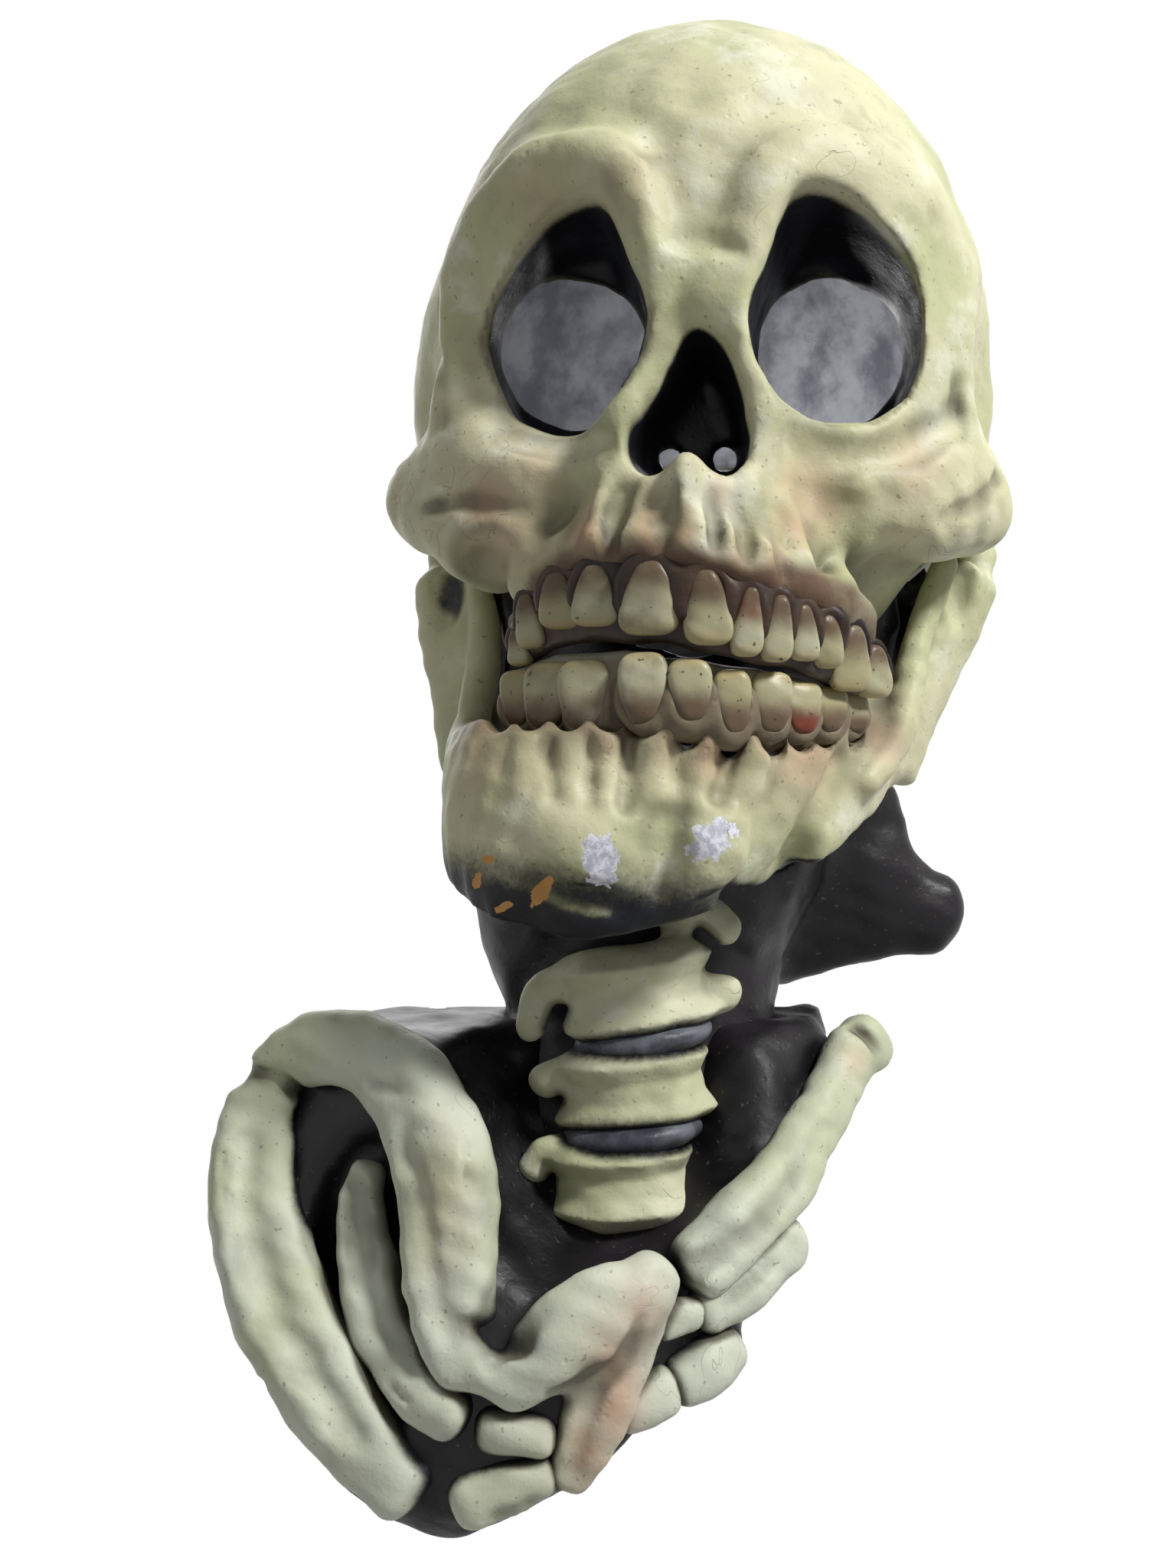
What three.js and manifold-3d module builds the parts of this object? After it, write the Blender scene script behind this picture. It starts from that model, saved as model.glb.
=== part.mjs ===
// Skull wall mask: a hollow skull with a loose jaw, on a black neck sleeve and a chest bib with bones.
// Lengths are millimetres. +Z is up, -Y faces the room, and the wall touches the hanger pad at Y = 0.
// Every bone is clay built from swollen lumps and limbs. Places are shares of the skull's or chest's half sizes.
import * as THREE from 'three';
import { mergeVertices } from 'three/addons/utils/BufferGeometryUtils.js';
import Module from 'manifold-3d';

const wasm = await Module();
wasm.setup();

// Driving sizes.
const skull = { halfWidth: 110, halfDepth: 125, halfHeight: 128, wall: 6 };
const socket = { eyeHoleRadius: 25, nostrilRadius: 4.5 };
const bone = { brow: 10, cheek: 20, rim: 10, nasal: 10, gum: 7 };
const jawbone = { wall: 10, ramus: 20, ramusWall: 6, condyle: 7, chinBulge: 17 };
const toothShares = { width: 0.107, depth: 0.074, crown: 0.16, bedHeight: 0.07 };
const tooth = { width: toothShares.width * skull.halfWidth, depth: toothShares.depth * skull.halfDepth,
  crown: toothShares.crown * skull.halfHeight, bedHeight: toothShares.bedHeight * skull.halfHeight, bedWall: 3 };
const neck = { halfWidth: 52, halfDepth: 50, wall: 4, lobe: 20 };
const spine = { halfWidth: 28, halfDepth: 22, halfHeight: 15, gap: 1, process: 7.5, disc: 7 };
const chest = { halfWidth: 122, halfDepth: 72, halfHeight: 138, bibHalfWidth: 104, wall: 5, collarBone: 14, rib: 15,
  thinRib: 10, sternum: 13 };
const hanger = { padWidth: 64, padHeight: 72, pad: 16, channel: 30, channelDepth: 8, channelBelow: 20, landBelow: 28,
  strap: 1.6, strapHalf: 5, eyeWall: 1.2, ringWire: 1.3, ringHalf: 9, screwHead: 3.4, screwHeight: 1.8,
  aboveCentre: 34, behind: 2 };
const seat = 0.3;          // gap between pieces that are bonded face to face
const jawRun = 1.2;        // running gap round the jaw
const jawSwing = 8;        // how far the jaw drops, in degrees
const overrun = 20;        // how far a cutter reaches past what it cuts

const front = new THREE.Vector3(0, -1, 0);
const back = new THREE.Vector3(0, 1, 0);
const up = new THREE.Vector3(0, 0, 1);
const down = new THREE.Vector3(0, 0, -1);
const across = new THREE.Vector3(1, 0, 0);

// The head looks a little to one side, so the middle of the face lies beside the middle of the cranium.
const yawShare = 0.14;
const rollShare = 0.02;
function turn(place) {
  const turn = yawShare * (1 + place.y / skull.halfDepth) + rollShare * (place.z / skull.halfHeight);
  place.x += turn * skull.halfWidth;
  return place;
}
// A place given in shares of the skull's half sizes, from the middle of the cranium.
const inSkull = ([x, y, z]) => new THREE.Vector3(x * skull.halfWidth, y * skull.halfDepth, z * skull.halfHeight);
const onSkull = (share) => turn(inSkull(share));
const chestPlaceShare = [-0.43, -0.1, -1.92];
const chestCentre = inSkull(chestPlaceShare);
// A place given in shares of the chest's half sizes, from the middle of the bib.
const onChest = ([x, y, z]) =>
  new THREE.Vector3(x * chest.halfWidth, y * chest.halfDepth, z * chest.halfHeight).add(chestCentre);
const mirrored = (shares) => shares.map(([x, y, z]) => [-x, y, z]);

// Solids from geometries, and geometries from solids.
function closed(geometry) {
  geometry.deleteAttribute('normal');
  geometry.deleteAttribute('uv');
  return mergeVertices(geometry, 1e-5);
}

function solid(geometry) {
  const triVerts = new Uint32Array(geometry.index.array);
  const vertProperties = geometry.attributes.position.array;
  return new wasm.Manifold(new wasm.Mesh({ numProp: 3, vertProperties, triVerts }));
}

function geometryOf(body) {
  const mesh = body.getMesh();
  const geometry = new THREE.BufferGeometry();
  geometry.setAttribute('position', new THREE.BufferAttribute(new Float32Array(mesh.vertProperties), mesh.numProp));
  geometry.setIndex(new THREE.BufferAttribute(new Uint32Array(mesh.triVerts), 1));
  geometry.computeVertexNormals();
  return geometry;
}

const joined = (bodies) => bodies.reduce((whole, body) => whole.add(body));
const without = (body, cutters) => cutters.reduce((rest, cutter) => rest.subtract(cutter), body);
const largest = (body) => body.decompose().sort((a, b) => b.volume() - a.volume())[0];

// An egg-shaped lump. Its lean slides it sideways and backward with height, and its taper narrows its top.
function lump(centre, radii, { grow = 0, sides = 14, rings = 10, lean = [0, 0], taper = 0 } = {}) {
  const egg = closed(new THREE.SphereGeometry(1, sides, rings));
  egg.rotateX(Math.PI / 2);
  egg.scale(radii[0] + grow, radii[1] + grow, radii[2] + grow);
  const points = egg.attributes.position;
  for (let i = 0; i < points.count; i++) {
    const narrow = 1 - taper * Math.max(0, points.getZ(i) / radii[2]);
    points.setX(i, points.getX(i) * narrow + lean[0] * points.getZ(i));
    points.setY(i, points.getY(i) + lean[1] * points.getZ(i));
  }
  egg.translate(centre.x, centre.y, centre.z);
  return solid(egg);
}
const skullLump = (share, [x, y, z], options) =>
  lump(onSkull(share), [x * skull.halfWidth, y * skull.halfDepth, z * skull.halfHeight], options);

const squared = (value, power) => Math.sign(value) * Math.abs(value) ** power;

// Reads a list of sizes at a share of its length.
function along(sizes, share) {
  const spot = share * (sizes.length - 1);
  const from = Math.min(Math.floor(spot), sizes.length - 2);
  return THREE.MathUtils.lerp(sizes[from], sizes[from + 1], spot - from);
}

const swollen = (swells, size) => swells.map((swell) => swell * size);

// A limb of bone: a sphere whose rings slide out along a curve. Thick is measured along the facing direction,
// and a full exponent below one makes the cross-section squarer.
function limb(places, halfWides, halfThicks,
  { grow = 0, sides = 8, rings = 8, facing = front, full = 1, bend = null } = {}) {
  const line = new THREE.CatmullRomCurve3(places);
  const length = line.getLength();
  const form = closed(new THREE.SphereGeometry(1, sides, rings));
  const points = form.attributes.position;
  for (let i = 0; i < points.count; i++) {
    const unit = new THREE.Vector3().fromBufferAttribute(points, i);
    const run = ((1 - unit.y) / 2) * (length + 2 * grow) - grow;
    const share = THREE.MathUtils.clamp(run / length, 0, 1);
    const tangent = line.getTangentAt(share);
    const side = new THREE.Vector3().crossVectors(facing, tangent).normalize();
    const lift = new THREE.Vector3().crossVectors(tangent, side);
    const wide = along(halfWides, share) + grow;
    const thick = along(halfThicks, share) + grow;
    const fromEnd = Math.min(run + grow, length + grow - run);
    const round = Math.min(wide, thick);
    const swell = fromEnd < round ? Math.sqrt(Math.max(0, 1 - (1 - fromEnd / round) ** 2)) : 1;
    const ring = Math.hypot(unit.x, unit.z) || 1;
    const spot = line.getPointAt(share).addScaledVector(tangent, run - share * length);
    spot.addScaledVector(side, squared(unit.x / ring, full) * wide * swell);
    spot.addScaledVector(lift, squared(unit.z / ring, full) * thick * swell);
    if (bend) bend(spot);
    points.setXYZ(i, spot.x, spot.y, spot.z);
  }
  return solid(form);
}

// An upright form through oval stations, listed from the top down.
function loft(stations, { grow = 0, sides = 22, rings = 9, reach = 0 } = {}) {
  const form = closed(new THREE.CylinderGeometry(1, 1, 1, sides, rings));
  const points = form.attributes.position;
  const read = (name, share) => along(stations.map((station) => station[name]), share);
  for (let i = 0; i < points.count; i++) {
    const share = 0.5 - points.getY(i);
    const past = share < 0.001 ? reach : share > 0.999 ? -reach : 0;
    points.setXYZ(i,
      read('x', share) + points.getX(i) * (read('halfWidth', share) + grow),
      read('y', share) - points.getZ(i) * (read('halfDepth', share) + grow),
      read('z', share) + past);
  }
  return solid(form);
}

// A block between two corners.
function block(low, high) {
  const size = new THREE.Vector3().subVectors(high, low);
  const box = closed(new THREE.BoxGeometry(size.x, size.y, size.z));
  box.translate((low.x + high.x) / 2, (low.y + high.y) / 2, (low.z + high.z) / 2);
  return solid(box);
}

// A round bar.
function bar(radius, length, centre, direction, sides = 24) {
  const rod = closed(new THREE.CylinderGeometry(radius, radius, length, sides));
  rod.applyQuaternion(new THREE.Quaternion().setFromUnitVectors(new THREE.Vector3(0, 1, 0), direction));
  rod.translate(centre.x, centre.y, centre.z);
  return solid(rod);
}

// Everything beyond a plane, as a block that is larger than the mask.
const farSide = 12 * skull.halfHeight;
function beyond(normal, distance) {
  const half = farSide / 2;
  const whole = block(new THREE.Vector3(-half, -half, -half), new THREE.Vector3(half, half, half));
  return whole.translate(normal.x * (half + distance), normal.y * (half + distance), normal.z * (half + distance));
}

// Outlines of the openings, seen from the front, in shares of the skull's half width and half height.
const orbitShares = [[0.37, 0.285], [0.25, 0.255], [0.17, 0.175], [0.13, 0.05], [0.13, -0.08], [0.18, -0.21],
  [0.25, -0.26], [0.37, -0.26], [0.54, -0.2], [0.65, -0.09], [0.69, 0.04], [0.68, 0.15], [0.6, 0.245], [0.49, 0.285]];
const leftOrbitShares = { middle: 0.41, stretch: 1.09, slide: 0 };
const noseShares = [[0.005, -0.02], [-0.07, -0.08], [-0.135, -0.18], [-0.21, -0.31], [-0.19, -0.38], [-0.13, -0.41],
  [-0.075, -0.39], [-0.01, -0.355], [0.055, -0.4], [0.11, -0.415], [0.165, -0.35], [0.15, -0.24], [0.1, -0.11]];
const eyeHoleShare = [0.39, -0.5, 0];
const orbitPocketShares = { mouth: -0.95, floor: -0.5, floorScale: 0.78, focus: eyeHoleShare, outline: 14 };
const nosePocketShares = { mouth: -1, floor: -0.62, floorScale: 0.62, focus: [0, -0.62, -0.24], outline: 12 };

// A tapered cutter with the given outline: full size at the face, smaller at its floor.
function pocket(outlineShares, side, { mouth, floor, floorScale, focus, outline }, grow) {
  const spots = outlineShares.map(([x, z]) => new THREE.Vector2(side * x * skull.halfWidth, z * skull.halfHeight));
  if (side < 0) spots.reverse();
  const shape = new THREE.Shape(new THREE.SplineCurve([...spots, spots[0]]).getPoints(outline).slice(0, -1));
  const floorAt = floor * skull.halfDepth + grow;
  const mouthAt = mouth * skull.halfDepth;
  const depth = floorAt - mouthAt + overrun;
  const cutter = closed(new THREE.ExtrudeGeometry(shape, { depth, steps: 2, bevelEnabled: false }));
  cutter.rotateX(Math.PI / 2);
  cutter.translate(0, floorAt, 0);
  const points = cutter.attributes.position;
  const box = new THREE.Box3().setFromBufferAttribute(points);
  const middle = box.getCenter(new THREE.Vector3());
  const half = box.getSize(new THREE.Vector3()).multiplyScalar(0.5);
  const aim = inSkull([side * focus[0], focus[1], focus[2]]);
  for (let i = 0; i < points.count; i++) {
    const out = THREE.MathUtils.clamp((floorAt - points.getY(i)) / (floorAt - mouthAt), 0, 1);
    const open = THREE.MathUtils.lerp(floorScale, 1, Math.sqrt(out));
    const x = (points.getX(i) - middle.x) * open * (1 + grow / half.x) + THREE.MathUtils.lerp(aim.x, middle.x, out);
    const z = (points.getZ(i) - middle.z) * open * (1 + grow / half.z) + THREE.MathUtils.lerp(aim.z, middle.z, out);
    const spot = turn(new THREE.Vector3(x, points.getY(i), z));
    points.setXYZ(i, spot.x, spot.y, spot.z);
  }
  return solid(cutter);
}
const { middle: orbitMiddle, stretch: orbitStretch, slide: orbitSlide } = leftOrbitShares;
const wideOrbitShares = orbitShares.map(([x, z]) =>
  [orbitMiddle + orbitSlide + (x - orbitMiddle) * orbitStretch, z]);
const orbit = (side, grow) => pocket(side > 0 ? orbitShares : wideOrbitShares, side, orbitPocketShares, grow);
const nose = (grow) => pocket(noseShares, 1, nosePocketShares, grow);

// The hollows at the temples and below the cheekbones.
const templeShares = [[1.2, -0.42, -0.2], [0.4, 0.44, 0.6]];
const cheekHollowShares = [[0.98, -0.28, -0.92], [0.46, 0.62, 0.5]];
function hollows(grow) {
  return [1, -1].flatMap((side) => [templeShares, cheekHollowShares].map(([[x, y, z], radii]) =>
    skullLump([side * x, y, z], radii, { grow, sides: 12, rings: 8 })));
}

// The bony ridges of the face: places, half widths and half thicknesses as multiples of a size, and that size.
const ridgeShares = [
  [[[0.74, -0.53, 0.3], [0.6, -0.66, 0.36], [0.38, -0.78, 0.38], [0.12, -0.84, 0.28]],
    [0.8, 1, 1.1, 1.1], [0.8, 0.9, 1, 1], bone.brow],
  [[[0.75, -0.57, 0.28], [0.78, -0.53, 0.06], [0.76, -0.56, -0.24]], [0.9, 0.9, 1.1], [0.95, 0.9, 1], bone.rim],
  [[[0.72, -0.6, -0.26], [0.52, -0.72, -0.36], [0.34, -0.78, -0.36], [0.16, -0.82, -0.26]],
    [1.2, 1.1, 1.1, 0.9], [0.9, 0.9, 0.9, 0.8], bone.rim],
  [[[0.3, -0.7, -0.42], [0.54, -0.66, -0.39], [0.72, -0.54, -0.35], [0.84, -0.28, -0.3], [0.88, 0.04, -0.27]],
    [0.85, 1.15, 1.15, 0.85, 0.6], [0.55, 0.75, 0.85, 0.55, 0.45], bone.cheek],
  [[[0.08, -0.88, 0.14], [0.17, -0.86, -0.14], [0.24, -0.84, -0.34], [0.22, -0.82, -0.5]],
    [0.6, 0.6, 0.8, 1.1], [0.7, 0.7, 0.8, 1], bone.nasal]];
const noseBridgeShares = [[[0.01, -0.84, 0.17], [0.01, -0.92, 0.07], [0, -1, -0.03]],
  [0.8, 0.65, 0.85], [0.7, 0.7, 0.6], bone.nasal];
const muzzleShares = [[0, -0.6, -0.49], [0.42, 0.37, 0.33]];

// The braincase narrows towards the crown, and the forehead stands proud of it.
const craniumShares = [[0, 0.05, 0.02], [1, 0.95, 1.02]];
const crownTaperShare = 0.12;
const foreheadShares = [[0, -0.42, 0.3], [0.56, 0.46, 0.52]];
const cranium = (grow, sides, rings) =>
  skullLump(craniumShares[0], craniumShares[1], { grow, sides, rings, taper: crownTaperShare });

// The skull's outer form before it is hollowed.
function skullForm(grow) {
  const pieces = [skullLump(muzzleShares[0], muzzleShares[1], { grow, sides: 14, rings: 8 })];
  const ridge = ([places, wides, thicks, size]) =>
    pieces.push(limb(places.map(onSkull), swollen(wides, size), swollen(thicks, size),
      { grow, sides: 8, rings: 7 }));
  for (const [places, ...sizes] of ridgeShares) {
    ridge([places, ...sizes]);
    ridge([mirrored(places), ...sizes]);
  }
  ridge(noseBridgeShares);
  pieces.push(gumForm(grow));
  const forehead = skullLump(foreheadShares[0], foreheadShares[1], { grow, sides: 18, rings: 12 });
  return without(cranium(grow, 24, 15).add(forehead), hollows(-grow)).add(joined(pieces));
}

// Tooth rows: place along the arch, height of the middle, width and height as shares of a plain tooth.
const upperArchShares = { mid: 0.027, halfWidth: 0.55, front: -1.0, end: -0.64, root: 1 };
const upperToothShares = [[-0.93, -0.8, 0.8, 0.6], [-0.86, -0.73, 1.05, 0.9], [-0.71, -0.692, 1.35, 0.95],
  [-0.52, -0.691, 1.45, 0.95], [-0.26, -0.705, 1.7, 1.15], [0.02, -0.73, 1.36, 1.15], [0.22, -0.761, 0.92, 1.1],
  [0.37, -0.773, 0.94, 1.05], [0.51, -0.781, 0.96, 0.9], [0.64, -0.8, 1, 0.9], [0.79, -0.83, 1.45, 1.05],
  [0.95, -0.852, 1.3, 0.85]];
const lowerArchShares = { mid: -0.02, halfWidth: 0.52, front: -0.98, end: -0.64, root: -1 };
const lowerToothShares = [[-0.91, -0.918, 1.1, 0.9], [-0.74, -0.916, 1.6, 1.05], [-0.52, -0.92, 1.5, 1.1],
  [-0.22, -0.904, 1.25, 1.1], [0.03, -0.909, 1.05, 0.95], [0.25, -0.938, 0.94, 1.04], [0.46, -0.934, 1.15, 0.95],
  [0.64, -0.944, 1.2, 0.8], [0.81, -0.947, 1.2, 0.75], [0.98, -0.944, 1.2, 0.65]];
function archPlace(arch, share, height, inset = 0) {
  const bow = 1 - Math.abs(share) ** 2.2;
  const depth = THREE.MathUtils.lerp(arch.end, arch.front, bow);
  return inSkull([arch.mid + share * (arch.halfWidth - inset), depth + inset, height]);
}
function archFacing(arch, share) {
  const run = archPlace(arch, share + 0.05, 0).sub(archPlace(arch, share - 0.05, 0));
  return new THREE.Vector3().crossVectors(run, up).normalize().add(front).normalize();
}
// A tooth: a ball squared off towards a block, broad at the biting edge and narrow at the root.
function toothForm(arch, [share, height, wide, tall], grow) {
  const facing = archFacing(arch, share);
  const side = new THREE.Vector3().crossVectors(up, facing);
  const middle = archPlace(arch, share, height);
  const form = closed(new THREE.SphereGeometry(1, 8, 6));
  form.rotateX(Math.PI / 2);
  const points = form.attributes.position;
  const square = (value) => squared(value, 0.6);
  for (let i = 0; i < points.count; i++) {
    const rootward = points.getZ(i) * arch.root;
    const taper = THREE.MathUtils.lerp(1, 0.62, (rootward + 1) / 2);
    const spot = middle.clone()
      .addScaledVector(side, square(points.getX(i)) * (0.5 * tooth.width * wide * taper + grow))
      .addScaledVector(facing, -square(points.getY(i)) * (0.5 * tooth.depth * taper + grow))
      .addScaledVector(up, square(points.getZ(i)) * (0.5 * tooth.crown * tall + grow));
    points.setXYZ(i, spot.x, spot.y, spot.z);
  }
  return solid(form);
}
const row = (arch, shares, grow) => shares.map((share) => toothForm(arch, share, grow));

// A strip that follows a row of teeth, lifted towards the roots and set back behind them.
function strip(arch, shares, lift, inset, wall, height, grow) {
  const places = shares.map(([share, middle]) => archPlace(arch, share, middle + lift * arch.root, inset));
  return limb(places, [wall, wall], [height, height], { grow, facing: up, sides: 6, rings: 14 });
}
const gumForm = (grow) => strip(upperArchShares, upperToothShares, 0.1, 0.02, bone.gum, bone.gum, grow);
const bedInset = 0.058;

// The neck sleeve's oval stations from behind the palate down into the chest: place, then width and depth shares.
const sleeveShares = [[0.08, -0.16, -0.56, 1.3, 0.86], [0.07, -0.12, -0.9, 1.3, 1], [0.03, -0.04, -1.16, 1.12, 1.1],
  [-0.09, 0, -1.42, 1.26, 1.12], [-0.15, 0, -1.66, 1.08, 1], [-0.18, -0.03, -1.86, 1.02, 0.96],
  [-0.24, -0.06, -2.1, 1.3, 1.08]];
function sleeveForm(grow, reach = 0) {
  const stations = sleeveShares.map(([x, y, z, wide, deep]) => {
    const centre = inSkull([x, y, z]);
    const [halfWidth, halfDepth] = [wide * neck.halfWidth, deep * neck.halfDepth];
    return { x: centre.x, y: centre.y, z: centre.z, halfWidth, halfDepth };
  });
  return loft(stations, { grow, reach });
}
const sleevePartingShare = -1.44;

// The lobe of latex that stands out behind the neck: places, then half widths and half thicknesses.
const lobeShares = [
  [[[0.5, 0.2, -1.06], [0.66, 0.2, -1.24], [0.68, 0.2, -1.44]], [0.8, 1, 1], [0.7, 0.7, 0.65]],
  [[[0.22, 0.2, -1.58], [0.6, 0.2, -1.5], [1.04, 0.18, -1.54]], [1.45, 1.25, 0.7], [0.8, 0.7, 0.5]]];
const lobeForm = (grow = 0) => joined(lobeShares.map(([places, wides, thicks]) =>
  limb(places.map(inSkull), swollen(wides, neck.lobe), swollen(thicks, neck.lobe), { grow, rings: 10 })));

// The chest bib's outer form: an egg cut flat at the shoulders, with a trough running down from the neck.
const shoulderShare = 0.12;
const backShare = 0.25;
const bibLeanShares = [0.136, 1.054];
const bibLean = [bibLeanShares[0] * chest.halfWidth / chest.halfHeight,
  bibLeanShares[1] * chest.halfDepth / chest.halfHeight];
const bibCutShares = { x: 0.475, z: -0.61, slope: 33.5 };
const troughShares = [[0.18, -1.57, 0.33], [0.59, 1.32, 0.78]];
const recessShares = [[-0.46, -1.35, -0.32], [0.2, 0.5, 0.38]];
function chestLump([place, [x, y, z]], options) {
  return lump(onChest(place), [x * chest.halfWidth, y * chest.halfDepth, z * chest.halfHeight], options);
}
function chestForm(grow) {
  const egg = lump(chestCentre, [chest.bibHalfWidth, chest.halfDepth, chest.halfHeight],
    { grow, sides: 20, rings: 13, lean: bibLean });
  const trough = chestLump(troughShares, { grow: -grow, sides: 14, rings: 9 });
  const recess = chestLump(recessShares, { grow: -grow, sides: 10, rings: 8 });
  const cut = onChest([bibCutShares.x, 0, bibCutShares.z]);
  const slant = beyond(down, grow).rotate(0, -bibCutShares.slope, 0);
  return without(egg, [trough, recess, slant.translate(cut.x, 0, cut.z),
    beyond(up, chestCentre.z + shoulderShare * chest.halfHeight + grow)]);
}

// The mask's parts, by name. Each piece is cut by what it is bonded to, grown by the seat gap.
const parts = new Map();
const add = (name, body, colour, roughness = 0.7, metalness = 0) =>
  parts.set(name, { body: largest(body), colour, roughness, metalness });
const boneColour = 0xd4d6b4;
const blackLatex = 0x1d1a20;
const enamel = 0xc9b98c;

const skullGrown = skullForm(seat);
const sleeveGrown = sleeveForm(seat);
const sleeveBore = sleeveForm(-neck.wall, overrun);

// The jaw hangs skewed to one side from the hinge between its two condyles.
const jawSkew = 0.14;
const hingeShare = [0, -0.07, -0.43];
const onJaw = ([x, y, z]) => onSkull([x + jawSkew * (z - hingeShare[2]), y, z]);
const jawShares = [[0.62, -0.14, -1.06], [0.62, -0.52, -1.15], [0.43, -0.82, -1.2], [0, -0.92, -1.23],
  [-0.43, -0.82, -1.2], [-0.62, -0.52, -1.15], [-0.62, -0.14, -1.06]];
const jawHeightShares = [0.145, 0.18, 0.24, 0.265, 0.24, 0.18, 0.145];
const jawWallShares = [0.8, 0.9, 1, 1.15, 1, 0.9, 0.8];
const jawTaperShares = { level: -0.98, low: -0.08, high: 0.7, narrow: 0.52, slide: 0.4 };
const ramusShares = [[[0.8, -0.2, -0.54], [0.76, -0.24, -0.86], [0.62, -0.32, -1.14]], [0.8, 1, 1], [0.9, 1, 1.3]];
const ramusFacingShares = [0.66, -0.75];
const condyleShares = [[[0.9, -0.07, -0.43], [0.86, -0.12, -0.74]], [1, 1.05], [1, 0.8]];
const coronoidShares = [[[0.7, -0.32, -0.5], [0.72, -0.3, -0.76]], [0.7, 1.2], [0.7, 0.9]];
const chinShare = [0.15, -0.93, -1.28];
// Below the teeth the jaw narrows and slides to one side.
function jawTaper(spot) {
  const { level, low, high, narrow, slide } = jawTaperShares;
  const drop = THREE.MathUtils.clamp(level - spot.z / skull.halfHeight, low, high);
  const middle = onJaw([0, 0, jawShares[3][2]]).x;
  spot.x = middle + (spot.x - middle) * (1 - narrow * drop) - slide * drop * skull.halfWidth;
}
function jawForm(grow) {
  const { wall, ramus, ramusWall, condyle, chinBulge } = jawbone;
  const pieces = [limb(jawShares.map(onJaw), swollen(jawWallShares, wall), swollen(jawHeightShares, skull.halfHeight),
    { grow, facing: up, sides: 10, rings: 16, full: 0.8, bend: jawTaper })];
  for (const side of [1, -1]) {
    const branch = ([places, wides, thicks], wide, thick, facing = front) =>
      pieces.push(limb((side > 0 ? places : mirrored(places)).map(onJaw), swollen(wides, wide),
        swollen(thicks, thick), { grow, facing }));
    branch(ramusShares, ramus, ramusWall, new THREE.Vector3(side * ramusFacingShares[0], ramusFacingShares[1], 0));
    branch(condyleShares, condyle, condyle);
    branch(coronoidShares, condyle, condyle);
    pieces.push(lump(onJaw([side * chinShare[0], chinShare[1], chinShare[2]]), [chinBulge, 0.75 * chinBulge, chinBulge],
      { grow, sides: 12, rings: 8 }));
  }
  return joined(pieces);
}
const hinge = onSkull(hingeShare);
function swung(body, degrees) {
  return body.translate(-hinge.x, -hinge.y, -hinge.z).rotate(degrees, 0, 0).translate(hinge.x, hinge.y, hinge.z);
}
const jawClear = jawForm(jawRun);
const jawSeat = jawForm(seat);
const sweepShares = [0, 0.25, 0.5, 0.75, 1];
const jawSweep = joined(sweepShares.map((share) => swung(jawClear, share * jawSwing)));

// Skull shells, hollow behind the face, with the sockets and the nose cavity as cups.
const inner = without(cranium(-skull.wall, 18, 12),
  [orbit(1, skull.wall), orbit(-1, skull.wall), nose(skull.wall), ...hollows(skull.wall)]);
const palateShares = [[0, -0.44, -0.66], [0.4, 0.4, 0.34]];
const palate = skullLump(palateShares[0], palateShares[1], { sides: 14, rings: 10 }).subtract(nose(skull.wall));
const nostrilShare = [0.08, nosePocketShares.floor, -0.3];
const holes = [orbit(1, 0), orbit(-1, 0), nose(0), inner, palate, sleeveGrown, jawSweep];
for (const side of [1, -1]) {
  const eye = onSkull([side * eyeHoleShare[0], eyeHoleShare[1], eyeHoleShare[2]]);
  const nostril = onSkull([side * nostrilShare[0], nostrilShare[1], nostrilShare[2]]);
  holes.push(bar(socket.eyeHoleRadius, 0.5 * skull.halfDepth, eye, front, 24));
  holes.push(bar(socket.nostrilRadius, 0.3 * skull.halfDepth, nostril, front, 12));
}
const shell = without(skullForm(0), holes);
const partingShare = 0.06;
const parting = partingShare * skull.halfDepth;
const faceMiddleShare = -0.8;
const faceShell = shell.subtract(beyond(back, parting));
const faceMiddle = onSkull([0, faceMiddleShare, 0]).x;
const eyeLevel = onSkull(eyeHoleShare).z;
for (const [name, side] of [['right', 1], ['left', -1]]) {
  const half = faceShell.subtract(beyond(across.clone().multiplyScalar(-side), -side * faceMiddle - seat / 2));
  add(`forehead_${name}`, half.subtract(beyond(down, -eyeLevel - seat / 2)), boneColour);
  add(`cheek_${name}`, half.subtract(beyond(up, eyeLevel - seat / 2)), boneColour);
}

// The hanger pad sits flat against the wall and closes the rear of the cranium. Its channel opens at the top.
const wallFace = skull.halfDepth + hanger.behind;
const padX = onSkull([0, 0, 0]).x;
const padZ = hanger.aboveCentre;
function padBlock(grow) {
  const { padWidth, padHeight, pad } = hanger;
  return block(new THREE.Vector3(padX - padWidth / 2 - grow, wallFace - pad - grow, padZ - padHeight / 2 - grow),
    new THREE.Vector3(padX + padWidth / 2 + grow, wallFace + grow, padZ + padHeight / 2 + grow));
}
const channelFloor = wallFace - hanger.channelDepth;
const channel = block(new THREE.Vector3(padX - hanger.channel / 2, channelFloor, padZ - hanger.channelBelow),
  new THREE.Vector3(padX + hanger.channel / 2, wallFace + overrun, padZ + hanger.padHeight));
add('rear_shell', without(shell, [beyond(front, -parting - seat), padBlock(seat), beyond(back, wallFace - seat)]),
  boneColour);
add('hanger_pad', without(padBlock(0), [channel, cranium(-skull.wall, 18, 12)]), boneColour);

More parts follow.
